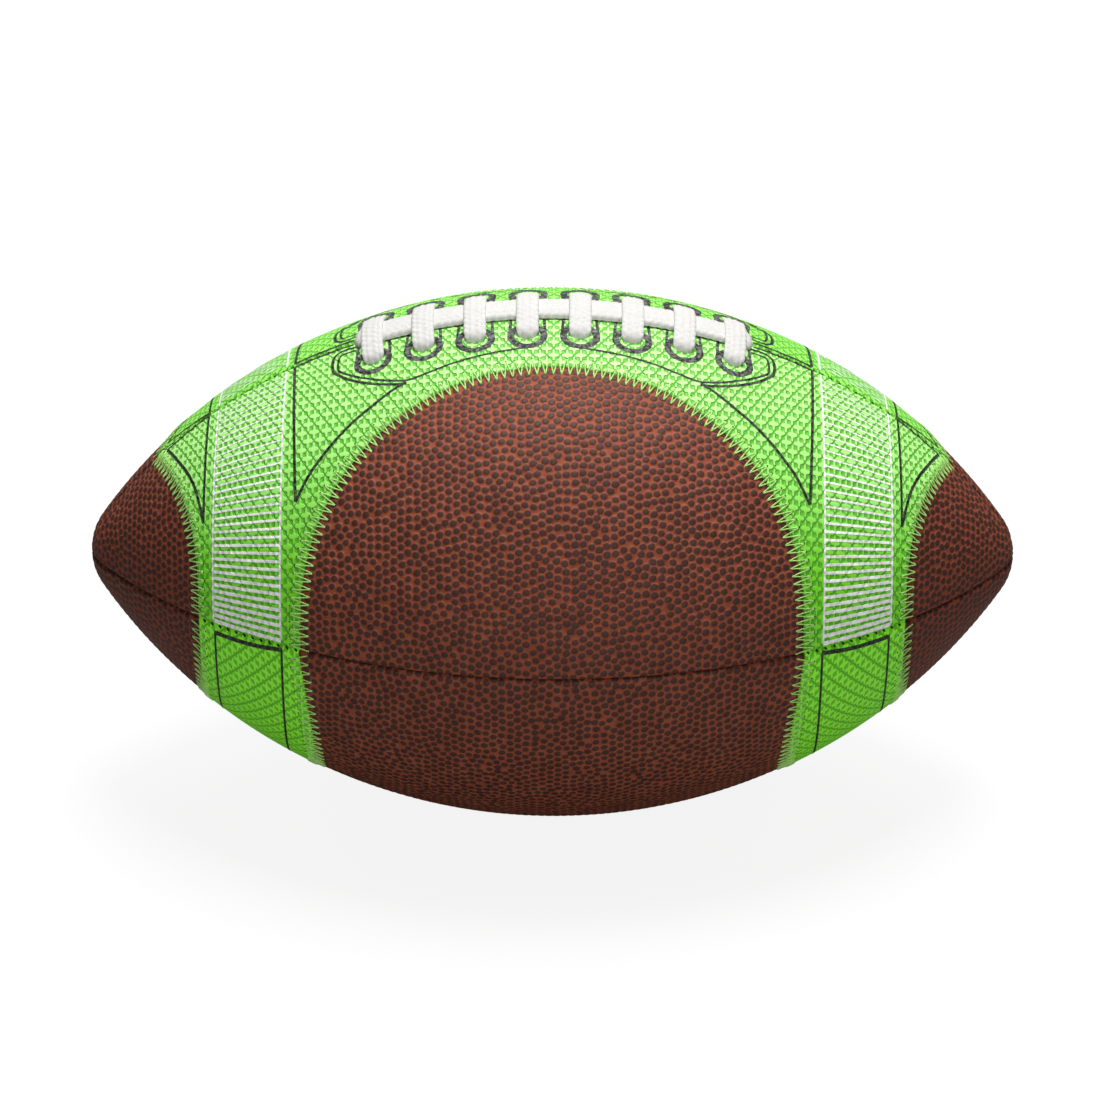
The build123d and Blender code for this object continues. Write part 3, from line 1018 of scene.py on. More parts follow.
def set_map(piece: Piece, flat: Array) -> None:
    """Gives a piece a flat map in millimetres, from one place for each point.

    Args:
        piece: The piece's object.
        flat: The places.
    """
    corners = np.empty(len(piece.data.loops), np.int32)
    piece.data.loops.foreach_get("vertex_index", corners)
    layer = piece.data.uv_layers.new(name=FLAT_MAP)
    layer.uv.foreach_set("vector", flat[corners].astype(np.float32).ravel())


def resample(line: Array, shares: Array) -> Array:
    """Points along a line of points, at shares of its length.

    Args:
        line: The line's points, in two dimensions.
        shares: The shares.

    Returns:
        One point for each share.
    """
    steps = np.hypot(*np.diff(line, axis=0).T)
    run = np.concatenate(((0.0,), np.cumsum(steps))) / steps.sum()
    return np.stack([np.interp(shares, run, line[:, at]) for at in range(2)], -1)


def graded(length: float, step: float, block: int) -> Array:
    """Shares of a length, in even steps but closer at both ends, where edges are rolled.

    Args:
        length: The length.
        step: The step between the ends.
        block: The number of steps is a multiple of this.

    Returns:
        The shares, from 0 to 1.
    """
    lead = np.array((0, 0.12, 0.3, 0.55, 0.9, 1.4))
    middle = math.ceil((length - 2 * lead[-1]) / step)
    middle += -(middle + 2 * (len(lead) - 1)) % block
    even = np.linspace(lead[-1], length - lead[-1], middle + 1)[1:-1]
    return np.concatenate((lead, even, length - lead[::-1])) / length


@dataclass
class PebbleGrain:
    """The pressed pebbles: evenly scattered round domes, a little uneven in size and outline."""

    ball: Ball = Ball(seam_lift=0.0)
    spacing: float = 2.75
    radius: float = 1.08
    spread: float = 0.07
    height: float = 0.16
    ripple: float = 0.07
    ripple_length: float = 3.1
    ripple_skew: float = 2.0 / 1.7
    dome: Span = (0.5, 1.4)
    jitter: float = 0.7
    neighbours: int = 7
    easing: float = 0.35
    rounds: int = 14
    seed: int = 7
    tree: KDTree = field(init=False)
    sizes: Array = field(init=False)
    tones: Array = field(init=False)

    def __post_init__(self) -> None:
        """Scatters the pebbles over the front half of the ball."""
        draws = np.random.default_rng(self.seed)
        pitch = self.spacing * math.sqrt(3) / 2
        rows = []
        for arc in np.arange(-self.ball.end_arc, self.ball.end_arc, pitch):
            around = math.pi * float(self.ball.radius(arc))
            count = max(1, round(around / self.spacing))
            angle = (np.arange(count) + draws.uniform(0, 1)) / count * math.pi
            rows.append(np.stack((np.full(count, arc), angle), -1))
        places = np.concatenate(rows)
        spread = self.spacing * np.array((1, self.jitter / self.ball.centre_height))
        places += draws.uniform(-0.5, 0.5, places.shape) * spread
        points = self.ball.place(places[:, 0], places[:, 1], 0.0, Half.FRONT) / MM
        for _ in range(self.rounds):
            points = self.eased(points)
        self.tree = self.sown(points)
        self.sizes = self.radius * draws.uniform(1 - self.spread, 1 + self.spread, len(points))
        self.tones = draws.uniform(0, 1, len(points))

    def sown(self, points: Array) -> KDTree:
        """A search tree over points.

        Args:
            points: The points.

        Returns:
            The tree.
        """
        tree = KDTree(len(points))
        for at, point in enumerate(points):
            tree.insert(point, at)
        tree.balance()
        return tree

    def eased(self, points: Array) -> Array:
        """Points pushed apart where they crowd, and set back on the ball.

        Args:
            points: The points, in millimetres.

        Returns:
            The moved points.
        """
        tree = self.sown(points)
        moved = points.copy()
        for at, point in enumerate(points):
            for other, _, distance in tree.find_n(point, self.neighbours)[1:]:
                if 0 < distance < self.spacing:
                    push = self.easing * (self.spacing - distance) / distance
                    moved[at] += push * (point - np.array(other))
        along = np.clip(moved[:, 0], -self.ball.length / 2, self.ball.length / 2)
        angle = np.arctan2(-moved[:, 1], moved[:, 2] - self.ball.centre_height)
        return self.ball.place(self.ball.arc(along), angle, 0.0, Half.FRONT) / MM

    def at(self, arc: Array, angle: Array) -> Pair:
        """Reads the grain at places on the ball.

        Args:
            arc: Their arcs.
            angle: Their angles.

        Returns:
            Distance from the nearest pebble's middle, as a share of its radius, and the pebble's tone.
        """
        points = self.ball.place(arc.ravel(), angle.ravel(), 0.0, Half.FRONT) / MM
        wave = 2 * math.pi / self.ripple_length
        skew = self.ripple_skew * points[:, (2, 0, 1)]
        points += self.ripple * np.sin(wave * points[:, (1, 2, 0)] + skew)
        found = [self.tree.find(point)[1:] for point in points]
        index = np.array([at for at, _ in found])
        distance = np.array([away for _, away in found])
        return (distance / self.sizes[index]).reshape(arc.shape), self.tones[index].reshape(arc.shape)

    def rise(self, share: Array) -> Array:
        """Height of the domes over the ground between them."""
        return self.height * (1 - eased_step(share, *self.dome))


@dataclass
class CoverPieces:
    """The sewn cover: pebbled leather pieces and thicker grip pieces in four panels."""

    cover: Cover = Cover()
    grain: PebbleGrain = field(default_factory=PebbleGrain)
    leather_step: float = 0.52
    grip_step: float = 0.5
    pattern: GripPattern = GripPattern()
    block: int = 6
    shoulder_turn: float = math.radians(52)
    hole_arcs: tuple[float, ...] = ()
    hole_offset: float = 13.7
    dimple_depth: float = 1.0
    dimple_radius: float = 2.6
    # Angles over which the grip's painted sheen fades out, and its strength on the rear.
    bloom: Span = (20.0, 74.0)
    rear_painted_sheen: float = 0.4
    # The leather's tone is lowered above these angles, a painted light on the top near the lacing.
    rubbed: Span = (24.0, 52.0)
    rubbed_share: float = 0.55
    # The leather's tone is raised over these arcs, a painted shade on both tips.
    tip_painted_shade: float = 1.1
    tip_shade_arcs: Span = (105.0, 125.0)
    tip_width: float = 72.0
    tip_length: float = 60.0
    tip_step: float = 0.624
    inset_height: float = 85.0
    inset_step: float = 0.442
    inset_places: int = 400
    middle_radius: float = 80.0
    band_radius: float = 60.0
    band_width: float = 36.0
    leg_length: float = 86.0
    crown_length: float = 250.0
    crown_step: float = 0.55
    grip_width: float = 36.0
    grip_width_step: float = 0.35
    lacing_places: int = 900
    end_pull: int = 8
    crease: float = 50.0
    merge_reach: float = 1e-6
    least_edge: float = 1e-7
    valve_radius: float = 4.2
    valve_reach: float = 6.0
    valve_turn: float = math.radians(-135)
    cutter_sides: int = 64
    cutter_depth: float = 24.0

    def build(self) -> None:
        """Builds and dresses every piece of the cover, front and rear."""
        for half in Half:
            for panel, name, grid in self.leather_grids():
                self.leather_piece(panel, name, half, *grid)
            for panel, name, grid in self.grip_grids():
                self.grip_piece(panel, name, half, *grid)

    def leather_grids(self) -> list:
        """The leather pieces of one half.

        Returns:
            A panel, a name and a grid of arcs and angles for each piece.
        """
        found = [(Panel.UPPER, "inset", self.inset_grid()), (Panel.LOWER, "middle", self.middle_grid())]
        for side in Side:
            for panel in Panel:
                found.append((panel, f"{side.label}_tip", self.tip_grid(panel, side)))
        return found

    def grip_grids(self) -> list:
        """The grip pieces of one half, as leather_grids gives the leather ones.

        Returns:
            As leather_grids.
        """
        found = [(Panel.UPPER, "grip", self.grip_grid())]
        for side in Side:
            found.append((Panel.LOWER, f"{side.label}_band", self.band_grid(side)))
        return found

    def filled(self, edges: tuple, shares: tuple, panel: Panel) -> Pair:
        """A grid that fills four edges, as a blend between them on the flat panel.

        Args:
            edges: The bottom, top, left and right edge, as arcs and angles.
            shares: Shares of the length, along bottom and top and along left and right.
            panel: The panel that the edges lie on.

        Returns:
            The arcs and the angles of the grid.
        """
        run, climb = shares
        bottom, top = (self.cover.flat(edge, panel) for edge in edges[:2])
        left, right = (resample(self.cover.flat(edge, panel), climb)[:, None] for edge in edges[2:])
        if len(bottom) != len(run):
            bottom = resample(bottom, run)
        if len(top) != len(run):
            top = resample(top, run)
        a, b = run[None, :, None], climb[:, None, None]
        blend = (1 - b) * bottom[None] + b * top[None] + (1 - a) * left + a * right
        corners = (1 - a) * ((1 - b) * bottom[0] + b * top[0]) + a * ((1 - b) * bottom[-1] + b * top[-1])
        flat = blend - corners
        return flat[..., 0], panel.value + flat[..., 1] / self.cover.ball.radius(flat[..., 0])

    def inset_grid(self) -> Pair:
        """The grid of the inset under the arch: side seam, arch top, and two flanks with the legs.

        Returns:
            The arcs and the angles of the grid.
        """
        line = self.cover.arch_line(self.cover.butt_gap)
        shoulder = self.shoulder_places(line)
        left, top, right = line[: shoulder + 1], line[shoulder : -shoulder], line[: -shoulder - 2 : -1]
        arc = np.linspace(left[0, 0], right[0, 0], self.inset_places)
        bottom = np.stack((arc, self.cover.seam_angle(arc, Panel.UPPER, 1)), -1)
        run = graded(2 * abs(left[0, 0]), self.leather_step, self.block)
        climb = graded(self.inset_height, self.inset_step, self.block)
        return self.filled((bottom, top, left, right), (run, climb), Panel.UPPER)

    def shoulder_places(self, line: Array) -> int:
        """Number of the arch line's point at its left shoulder."""
        reach = self.cover.arch_radius * math.sin(self.shoulder_turn)
        return int(np.argmin(np.abs(line[: len(line) // 2, 0] - self.cover.ball.arc(-reach))))

    def middle_grid(self) -> Pair:
        """The grid of the lower middle, between the two inner band seams.

        Returns:
            The arcs and the angles of the grid.
        """
        climb = graded(math.pi / 2 * self.middle_radius, self.leather_step, self.block)
        edge = self.cover.band_line(Side.RIGHT, self.cover.butt_gap)
        run = graded(2 * edge[0, 0], self.leather_step, self.block)
        return self.between(edge * (-1, 1), edge, run, climb)

    def band_grid(self, side: Side) -> Pair:
        """The grid of a lower band, between its inner and its outer seam.

        Args:
            side: The end of the ball.

        Returns:
            The arcs and the angles of the grid.
        """
        climb = graded(math.pi / 2 * self.band_radius, self.grip_step, self.block)
        run = graded(self.band_width, self.grip_step, self.block)
        return self.between(self.cover.band_line(side, 0.0), self.cover.end_line(side, 0.0), run, climb)

    def between(self, first: Array, last: Array, run: Array, climb: Array) -> Pair:
        """A grid on the lower panel between two seams that run from its side seam to its bottom.

        Args:
            first: One seam, as arcs and angles.
            last: The other seam.
            run: Shares of the way between them.
            climb: Shares of the way along them.

        Returns:
            The arcs and the angles of the grid.
        """
        ends = (self.cover.seam_angle(np.zeros(1), Panel.LOWER, end)[0] for end in (-1, 1))
        angle = np.interp(climb, (0, 1), tuple(ends))
        starts, stops = (np.interp(angle, line[:, 1], line[:, 0]) for line in (first, last))
        arc = starts[:, None] + (stops - starts)[:, None] * run[None]
        middle = Panel.LOWER.value
        lean = (angle[:, None] - middle) / (math.pi / 4)
        reach = self.cover.seam_angle(arc, Panel.LOWER, 1) - middle
        scale = math.pi / 4 / abs(self.cover.seam_angle(np.zeros(1), Panel.LOWER, 1)[0] - middle)
        return arc, middle + lean * reach * scale

    def tip_grid(self, panel: Panel, side: Side) -> Pair:
        """The grid of a tip piece, from its seam to the very tip, where it closes to a point.

        Args:
            panel: The panel it belongs to.
            side: The end of the ball.

        Returns:
            The arcs and the angles of the grid.
        """
        gap = self.cover.butt_gap
        line = self.cover.tip_line(side, gap) if panel is Panel.UPPER else self.cover.end_line(side, gap)
        line = line[np.argsort(line[:, 1])]
        climb = graded(self.tip_width, self.tip_step, self.block)
        angle = panel.value + (2 * climb - 1) * math.pi / 4
        starts = np.interp(angle, line[:, 1], line[:, 0])
        run = graded(self.tip_length, self.tip_step, self.block)
        arc = starts[:, None] + (side.value * self.cover.ball.end_arc - starts)[:, None] * run[None]
        reach = self.cover.seam_angle(arc, panel, 1) - panel.value
        return arc, panel.value + (2 * climb - 1)[:, None] * reach

    def grip_grid(self) -> Pair:
        """The grid of the upper grip: round the arch from leg to leg, and from arch to lacing.

        Returns:
            The arcs and the angles of the grid.
        """
        inner = self.cover.arch_line(0.0)
        left = self.cover.tip_line(Side.LEFT, 0.0)
        arc = np.linspace(left[-1, 0], -left[-1, 0], self.lacing_places)
        lacing = np.stack((arc, self.cover.seam_angle(arc, Panel.UPPER, -1)), -1)
        shoulder = self.shoulder_places(inner)
        runs = (
            graded(self.leg_length, self.grip_step, self.block),
            graded(self.crown_length, self.crown_step, self.block),
        )
        flank, top = (self.cover.flat(part, Panel.UPPER) for part in (left, lacing))
        legs = self.cover.flat(inner[: shoulder + 1], Panel.UPPER)
        crown = self.cover.flat(inner[shoulder:-shoulder], Panel.UPPER)
        sides = [resample(line, runs[0]) for line in (legs, flank)]
        caps = [resample(line, runs[1]) for line in (crown, top)]
        full = [np.concatenate((s[:-1], cap, (s * (-1, 1))[-2::-1])) for s, cap in zip(sides, caps)]
        climb = graded(self.grip_width, self.grip_width_step, self.block)[:, None, None]
        flat = (1 - climb) * full[0][None] + climb * full[1][None]
        run = np.linspace(0, 1, flat.shape[1])[None, :, None]
        for end, weight in ((0, 1 - run), (-1, run)):
            arc = flat[:, end, 0]
            seam = np.stack((arc, self.cover.seam_angle(arc, Panel.UPPER, 1)), -1)
            pull = np.maximum(weight * self.end_pull - (self.end_pull - 1), 0)
            flat = flat + pull * (self.cover.flat(seam, Panel.UPPER) - flat[:, end])[:, None]
        return flat[..., 0], Panel.UPPER.value + flat[..., 1] / self.cover.ball.radius(flat[..., 0])

    def sewn_distance(self, panel: Panel, arc: Array, angle: Array) -> Array:
        """Distance from the nearer seam between leather and grip, on either side of it.

        Args:
            panel: The panel that the places lie on.
            arc: The places' arcs.
            angle: Their angles.

        Returns:
            One distance for each place.
        """
        pair = (
            (self.cover.arch_distance, self.cover.tip_distance)
            if panel is Panel.UPPER
            else (self.cover.band_distance, self.cover.end_distance)
        )
        return np.minimum(*(np.abs(distance(arc, angle)) for distance in pair))

    def edges_down(self, panel: Panel, arc: Array, angle: Array, sink: float) -> Array:
        """How far the surface lies below its own height, near rolled seams and sewn edges.

        Args:
            panel: The panel that the places lie on.
            arc: The places' arcs.
            angle: Their angles.
            sink: How deep a sewn edge goes down.

        Returns:
            One depth for each place.
        """
        cover = self.cover
        seam = cover.rolled(cover.seam_distance(arc, angle, panel), cover.seam_roll, cover.seam_roll)
        sewn = cover.rolled(self.sewn_distance(panel, arc, angle), cover.edge_round, sink)
        return np.maximum(seam, sewn)

    def leather_piece(self, panel: Panel, name: str, half: Half, arc: Array, angle: Array) -> None:
        """Builds and dresses one pebbled leather piece.

        Args:
            panel: The panel it belongs to.
            name: Its name within the panel.
            half: The half of the ball.
            arc: The arcs of its grid.
            angle: The angles of its grid.
        """
        share, tone = self.grain.at(arc, angle)
        # Painted light: the leather turns lighter towards the lacing.
        tone = tone - self.rubbed_share * (1 - eased_step(np.degrees(angle), *self.rubbed))
        # Painted shade: the leather turns darker towards both tips.
        tone = tone + self.tip_painted_shade * eased_step(np.abs(arc), *self.tip_shade_arcs)
        off = self.grain.rise(share) - self.edges_down(panel, arc, angle, self.cover.edge_sink)
        node_name = f"{panel.label}_{half.label}_{name}"
        piece = self.shell(f"leather_{node_name}", panel, half, arc, angle, off)
        for key, values in ((PEBBLE, share), (TONE_AND_PAINTED_LIGHT, tone)):
            set_values(piece, key, self.with_inside(values))
        if "tip" in name:
            self.merge_tip(piece)
        if node_name == "lower_rear_middle":
            self.pierce(piece)
        finish_piece(piece, LEATHER, "pebbled_leather", node_name)

    def grip_piece(self, panel: Panel, name: str, half: Half, arc: Array, angle: Array) -> None:
        """Builds and dresses one grip piece, as leather_piece does a leather one.

        Args:
            panel: The panel it belongs to.
            name: Its name within the panel.
            half: The half of the ball.
            arc: The arcs of its grid.
            angle: The angles of its grid.
        """
        rise = self.cover.grip_rise
        off = self.pattern.surface(self.cover.mapped(arc, angle, panel), rise)
        off = off - self.edges_down(panel, arc, angle, rise + self.cover.edge_sink / 2)
        if panel is Panel.UPPER:
            radius = self.cover.ball.radius(arc)
            for hole in self.hole_arcs:
                reach = np.hypot(arc - hole, radius * angle - self.hole_offset) / self.dimple_radius
                off = off - self.dimple_depth * np.exp(-(reach**2))
        node_name = f"{panel.label}_{half.label}_{name}"
        piece = self.shell(f"grip_{node_name}", panel, half, arc, angle, off)
        # Painted sheen: the grip turns paler towards the lacing, fully on the front and less on the rear.
        bloom = 1 - eased_step(np.degrees(angle), *self.bloom)
        bloom = bloom * (1.0 if half is Half.FRONT else self.rear_painted_sheen)
        set_values(piece, TONE_AND_PAINTED_LIGHT, self.with_inside(bloom))
        finish_piece(piece, GRIP if panel is Panel.UPPER else BAND_GRIP_WITH_PAINTED_GLOW, "tacky_grip", node_name)

    def shell(self, name: str, panel: Panel, half: Half, arc: Array, angle: Array, off: Array) -> Piece:
        """Makes a closed piece of the cover: a fine outside, a coarse inside and the cut edge between.

        Args:
            name: The object's name.
            panel: The panel it belongs to.
            half: The half of the ball.
            arc: The arcs of its outside grid.
            angle: The angles of its outside grid.
            off: How far the outside lies out from the leather's surface.

        Returns:
            The new object, with its flat map.
        """
        ball, block = self.cover.ball, self.block
        inside = (slice(None, None, block),) * 2
        outer = ball.place(arc, angle, off, half).reshape(-1, 3)
        inner = ball.place(arc[inside], angle[inside], -self.cover.thickness, half).reshape(-1, 3)
        upper = np.arange(arc.size).reshape(arc.shape)
        lower = arc.size + np.arange(arc[inside].size).reshape(arc[inside].shape)
        faces = quads(upper).tolist() + quads(lower)[:, ::-1].tolist()
        for fine, coarse in (
            (upper[0, ::-1], lower[0, ::-1]),
            (upper[-1], lower[-1]),
            (upper[:, 0], lower[:, 0]),
            (upper[::-1, -1], lower[::-1, -1]),
        ):
            for at in range(len(coarse) - 1):
                run = fine[at * block : (at + 1) * block + 1].tolist()
                faces.append(run + [int(coarse[at + 1]), int(coarse[at])])
        points = np.concatenate((outer, inner))
        if not faces_out(points[faces[len(faces) // 4]], ball.centre_height):
            faces = [face[::-1] for face in faces]
        piece = new_mesh(name, points, faces, self.crease)
        set_map(piece, self.with_inside(self.cover.mapped(arc, angle, panel)))
        return piece

    def with_inside(self, values: Array) -> Array:
        """The values of a shell's outside grid, and after them those of its coarse inside."""
        both = values, values[:: self.block, :: self.block]
        return np.concatenate([part.reshape(-1, *values.shape[2:]) for part in both])

    def merge_tip(self, piece: Piece) -> None:
        """Closes a tip piece to a point at the very tip."""
        merge = bpy.ops.mesh.remove_doubles, {"threshold": self.merge_reach}
        edited(piece, (merge, (bpy.ops.mesh.dissolve_degenerate, {"threshold": self.least_edge})))

    def pierce(self, piece: Piece) -> None:
        """Cuts the hole for the valve's neck, in the middle of the panel.

        Args:
            piece: The piece to cut.
        """
        turn = Matrix.Rotation(self.valve_turn, 4, "X")
        reach = (self.cover.ball.centre_height - self.valve_reach) * MM
        centre = Vector((0, 0, self.cover.ball.centre_height * MM)) + turn @ Vector((0, 0, reach))
        bpy.ops.object.select_all(action="DESELECT")
        bpy.ops.mesh.primitive_cylinder_add(
            vertices=self.cutter_sides,
            radius=self.valve_radius * MM,
            depth=self.cutter_depth * MM,
            location=centre,
            rotation=turn.to_euler(),
        )
        cutter = bpy.context.object
        cut = piece.modifiers.new("neck_hole", "BOOLEAN")
        cut.object = cutter
        cut.operation = "DIFFERENCE"
        cut.solver = "EXACT"
        select_only(piece)
        bpy.ops.object.modifier_apply(modifier=cut.name)
        bpy.data.objects.remove(cutter, do_unlink=True)


@dataclass
class Stitching:
    """The sewing: zigzag thread over the joins of leather and grip, and thread in the lengthwise seams."""

    cover: Cover = Cover()
    pattern: GripPattern = GripPattern()
    upper_pitch: float = 2.55
    lower_pitch: float = 3.1
    onto_leather: float = 2.9
    onto_grip: float = 3.2
    thread: float = 0.21
    lift: float = 0.1
    on_leather: float = 0.16
    hole_dip: float = 0.35
    # Size and sides of the painted dot of shade at each needle hole.
    hole_radius: float = 0.34
    hole_sides: int = 8
    turn: float = 0.985
    shares: tuple[float, ...] = (0, 0.05, 0.12, 0.25, 0.36, 0.43, 0.5, 0.57, 0.68, 0.82, 0.9, 0.96)
    climb: Span = (-0.3, 0.2)
    dive: Span = (0.9, 1.0)
    spare: float = 0.15
    sight: float = 0.5
    seam_pitch: float = 3.1
    seam_thread: float = 0.3
    seam_depth: float = 0.7
    grip_lift: float = 0.8
    seam_reach: float = 0.8
    seam_lean: float = 0.5
    seam_bow: float = 0.5
    seam_places: int = 7
    seam_end: float = 136.0
    lacing_end: float = 66.0
    crease: float = 60.0

    def build(self) -> None:
        """Builds and dresses the threads of every panel and seam."""
        for half in Half:
            for panel in Panel:
                runs = [self.zigzag(panel, *line, half) for line in self.joins(panel)]
                name = f"zigzag_{panel.label}_{half.label}"
                self.threads(name, runs, self.thread, ZIGZAG_YARN)
                self.needle_holes(panel, half)
            side = self.seam(math.pi / 2, half, 0.0)
            self.threads(f"side_seam_{half.label}", side, self.seam_thread, SEAM_YARN)
        bottom = self.seam(math.pi, Half.FRONT, 0.0)
        self.threads("bottom_seam", bottom, self.seam_thread, SEAM_YARN)
        lacing = self.seam(0.0, Half.FRONT, self.lacing_end)
        self.threads("lacing_seam", lacing, self.seam_thread, SEAM_YARN)

    def joins(self, panel: Panel) -> list:
        """The joins of a panel: their lines, and the side (1 left, -1 right) on which the leather lies.

        Args:
            panel: The panel.

        Returns:
            A line and a side for each join.
        """
        if panel is Panel.UPPER:
            lines = [(self.cover.arch_line(0.0), -1)]
            lines += [(self.cover.tip_line(side, 0.0), -side.value) for side in Side]
            return lines
        lines = [(self.cover.band_line(side, 0.0), -side.value) for side in Side]
        return lines + [(self.cover.end_line(side, 0.0), side.value) for side in Side]

    def paced(self, panel: Panel, line: Array) -> tuple[float, Array, Array]:
        """How the stitches are spaced along a join.

        Args:
            panel: The panel that the join lies on.
            line: The join, as arcs and angles.

        Returns:
            The pitch, where each stitch starts, and the run along the join at each of its points.
        """
        pitch = self.upper_pitch if panel is Panel.UPPER else self.lower_pitch
        radius = self.cover.ball.radius(line[:, 0])
        steps = np.hypot(np.diff(line[:, 0]), np.diff(line[:, 1]) * (radius[1:] + radius[:-1]) / 2)
        run = np.concatenate(((0.0,), np.cumsum(steps)))
        count = math.floor(run[-1] / pitch - self.spare)
        return pitch, (run[-1] - count * pitch) / 2 + pitch * np.arange(count), run

    def beside(self, line: Array, run: Array, ahead: Array, reach: Array) -> Pair:
        """Arcs and angles of places beside a join.

        Args:
            line: The join, as arcs and angles.
            run: The run along the join at each of its points.
            ahead: How far along the join each place lies.
            reach: How far to the left of the join it lies, seen from outside.

        Returns:
            The arcs and the angles.
        """
        arc, angle = (np.interp(ahead, run, line[:, at]) for at in range(2))
        before, after = (np.clip(ahead + shift, 0, run[-1]) for shift in (-self.sight, self.sight))
        ways = [np.interp(after, run, line[:, at]) - np.interp(before, run, line[:, at]) for at in range(2)]
        near = self.cover.ball.radius(arc)
        forward = np.stack((ways[0], ways[1] * near), -1)
        forward /= np.linalg.norm(forward, axis=1)[:, None]
        return arc + forward[:, 1] * reach, angle - forward[:, 0] * reach / near

    def zigzag(self, panel: Panel, line: Array, hand: int, half: Half) -> Array:
        """One zigzag thread along a join.

        Args:
            panel: The panel that it lies on.
            line: The join, as arcs and angles.
            hand: The side of the line on which the leather lies.
            half: The half of the ball.

        Returns:
            The points along the thread, in metres.
        """
        pitch, starts, run = self.paced(panel, line)
        share = np.array(self.shares) / 2
        share = np.concatenate((share, 0.5 + share))
        ahead = (starts[:, None] + pitch * share).ravel()
        wave = np.arcsin(self.turn * np.cos(2 * math.pi * share)) / math.asin(self.turn)
        aside = np.tile(wave, len(starts))
        reach = np.where(aside > 0, self.onto_leather, self.onto_grip) * aside
        arc, angle = self.beside(line, run, ahead, hand * reach)
        step = self.cover.grip_rise - self.on_leather
        height = self.on_leather + step * eased_step(-aside, *self.climb)
        height = height + self.lift - self.hole_dip * eased_step(np.abs(aside), *self.dive)
        return self.cover.ball.place(arc, angle, height, half)

    def needle_holes(self, panel: Panel, half: Half) -> None:
        """Makes a dark face for each hole that the needle leaves where the thread turns on the grip: a
        painted shade, as no hole is cut.

        Args:
            panel: The panel that they lie on.
            half: The half of the ball.
        """
        ball, spots = self.cover.ball, []
        for line, hand in self.joins(panel):
            pitch, starts, run = self.paced(panel, line)
            reach = np.full(len(starts), -hand * self.onto_grip)
            spots.append(np.stack(self.beside(line, run, starts + pitch / 2, reach), -1))
        spot = np.concatenate(spots)[:, None]
        turn = np.arange(self.hole_sides) * 2 * math.pi / self.hole_sides
        arc = spot[..., 0] + self.hole_radius * np.cos(turn)
        angle = spot[..., 1] + self.hole_radius * np.sin(turn) / ball.radius(spot[..., 0])
        flat = self.cover.mapped(arc, angle, panel)
        off = self.pattern.surface(flat, self.cover.grip_rise) + self.lift
        points = ball.place(arc, angle, off, half).reshape(-1, 3)
        order = np.arange(len(points)).reshape(-1, self.hole_sides)[:, :: half.value]
        name = f"needle_holes_{panel.label}_{half.label}"
        piece = new_mesh(name, points, order.tolist(), self.crease)
        finish_piece(piece, NEEDLE_HOLE_SHADE, "tacky_grip")

    def on_grip(self, arc: float, angle: float) -> bool:
        """Tells whether a place on a lengthwise seam lies between grip pieces.

        Args:
            arc: The place's arc.
            angle: The seam's angle.

        Returns:
            True on the grip, False on the leather.
        """
        cover = self.cover
        if angle > Panel.LOWER.value:
            return bool(cover.band_distance(arc, angle) > 0 > cover.end_distance(arc, angle))
        return bool(cover.arch_distance(arc, angle) > 0 > cover.tip_distance(arc, angle))

    def seam(self, angle: float, half: Half, start: float) -> list:
        """The short threads across a lengthwise seam, deep between its rolled edges.

        Args:
            angle: The seam's angle.
            half: The half of the ball.
            start: Threads nearer to the middle than this are left out.

        Returns:
            The points along each thread, in metres.
        """
        count = int(self.seam_end / self.seam_pitch)
        found = []
        for arc in np.arange(-count, count + 1) * self.seam_pitch:
            if abs(arc) < start:
                continue
            share = np.linspace(-1, 1, self.seam_places)
            near = float(self.cover.ball.radius(arc))
            lift = self.grip_lift * self.on_grip(arc, angle)
            off = -self.seam_depth - self.seam_bow * share**2 + lift
            arcs = arc + share * self.seam_lean
            found.append(self.cover.ball.place(arcs, angle + share * self.seam_reach / near, off, half))
        return found

    def threads(self, name: str, runs: list, radius: float, finish: Finish) -> None:
        """Makes one piece of round threads.

        Args:
            name: The piece's name.
            runs: The points along each thread.
            radius: The thread's radius.
            finish: The finish it wears.
        """
        curve = bpy.data.curves.new(name, "CURVE")
        curve.dimensions = "3D"
        curve.bevel_depth = radius * MM
        curve.bevel_resolution = 1
        curve.use_fill_caps = True
        for points in runs:
            spline = curve.splines.new("POLY")
            spline.points.add(len(points) - 1)
            spline.points.foreach_set("co", np.append(points, np.ones((len(points), 1)), 1).ravel())
        select_only(added(name, curve))
        bpy.ops.object.convert(target="MESH")
        piece = bpy.context.object
        bpy.ops.object.shade_smooth_by_angle(angle=math.radians(self.crease))
        finish_piece(piece, finish, "lace_cord")


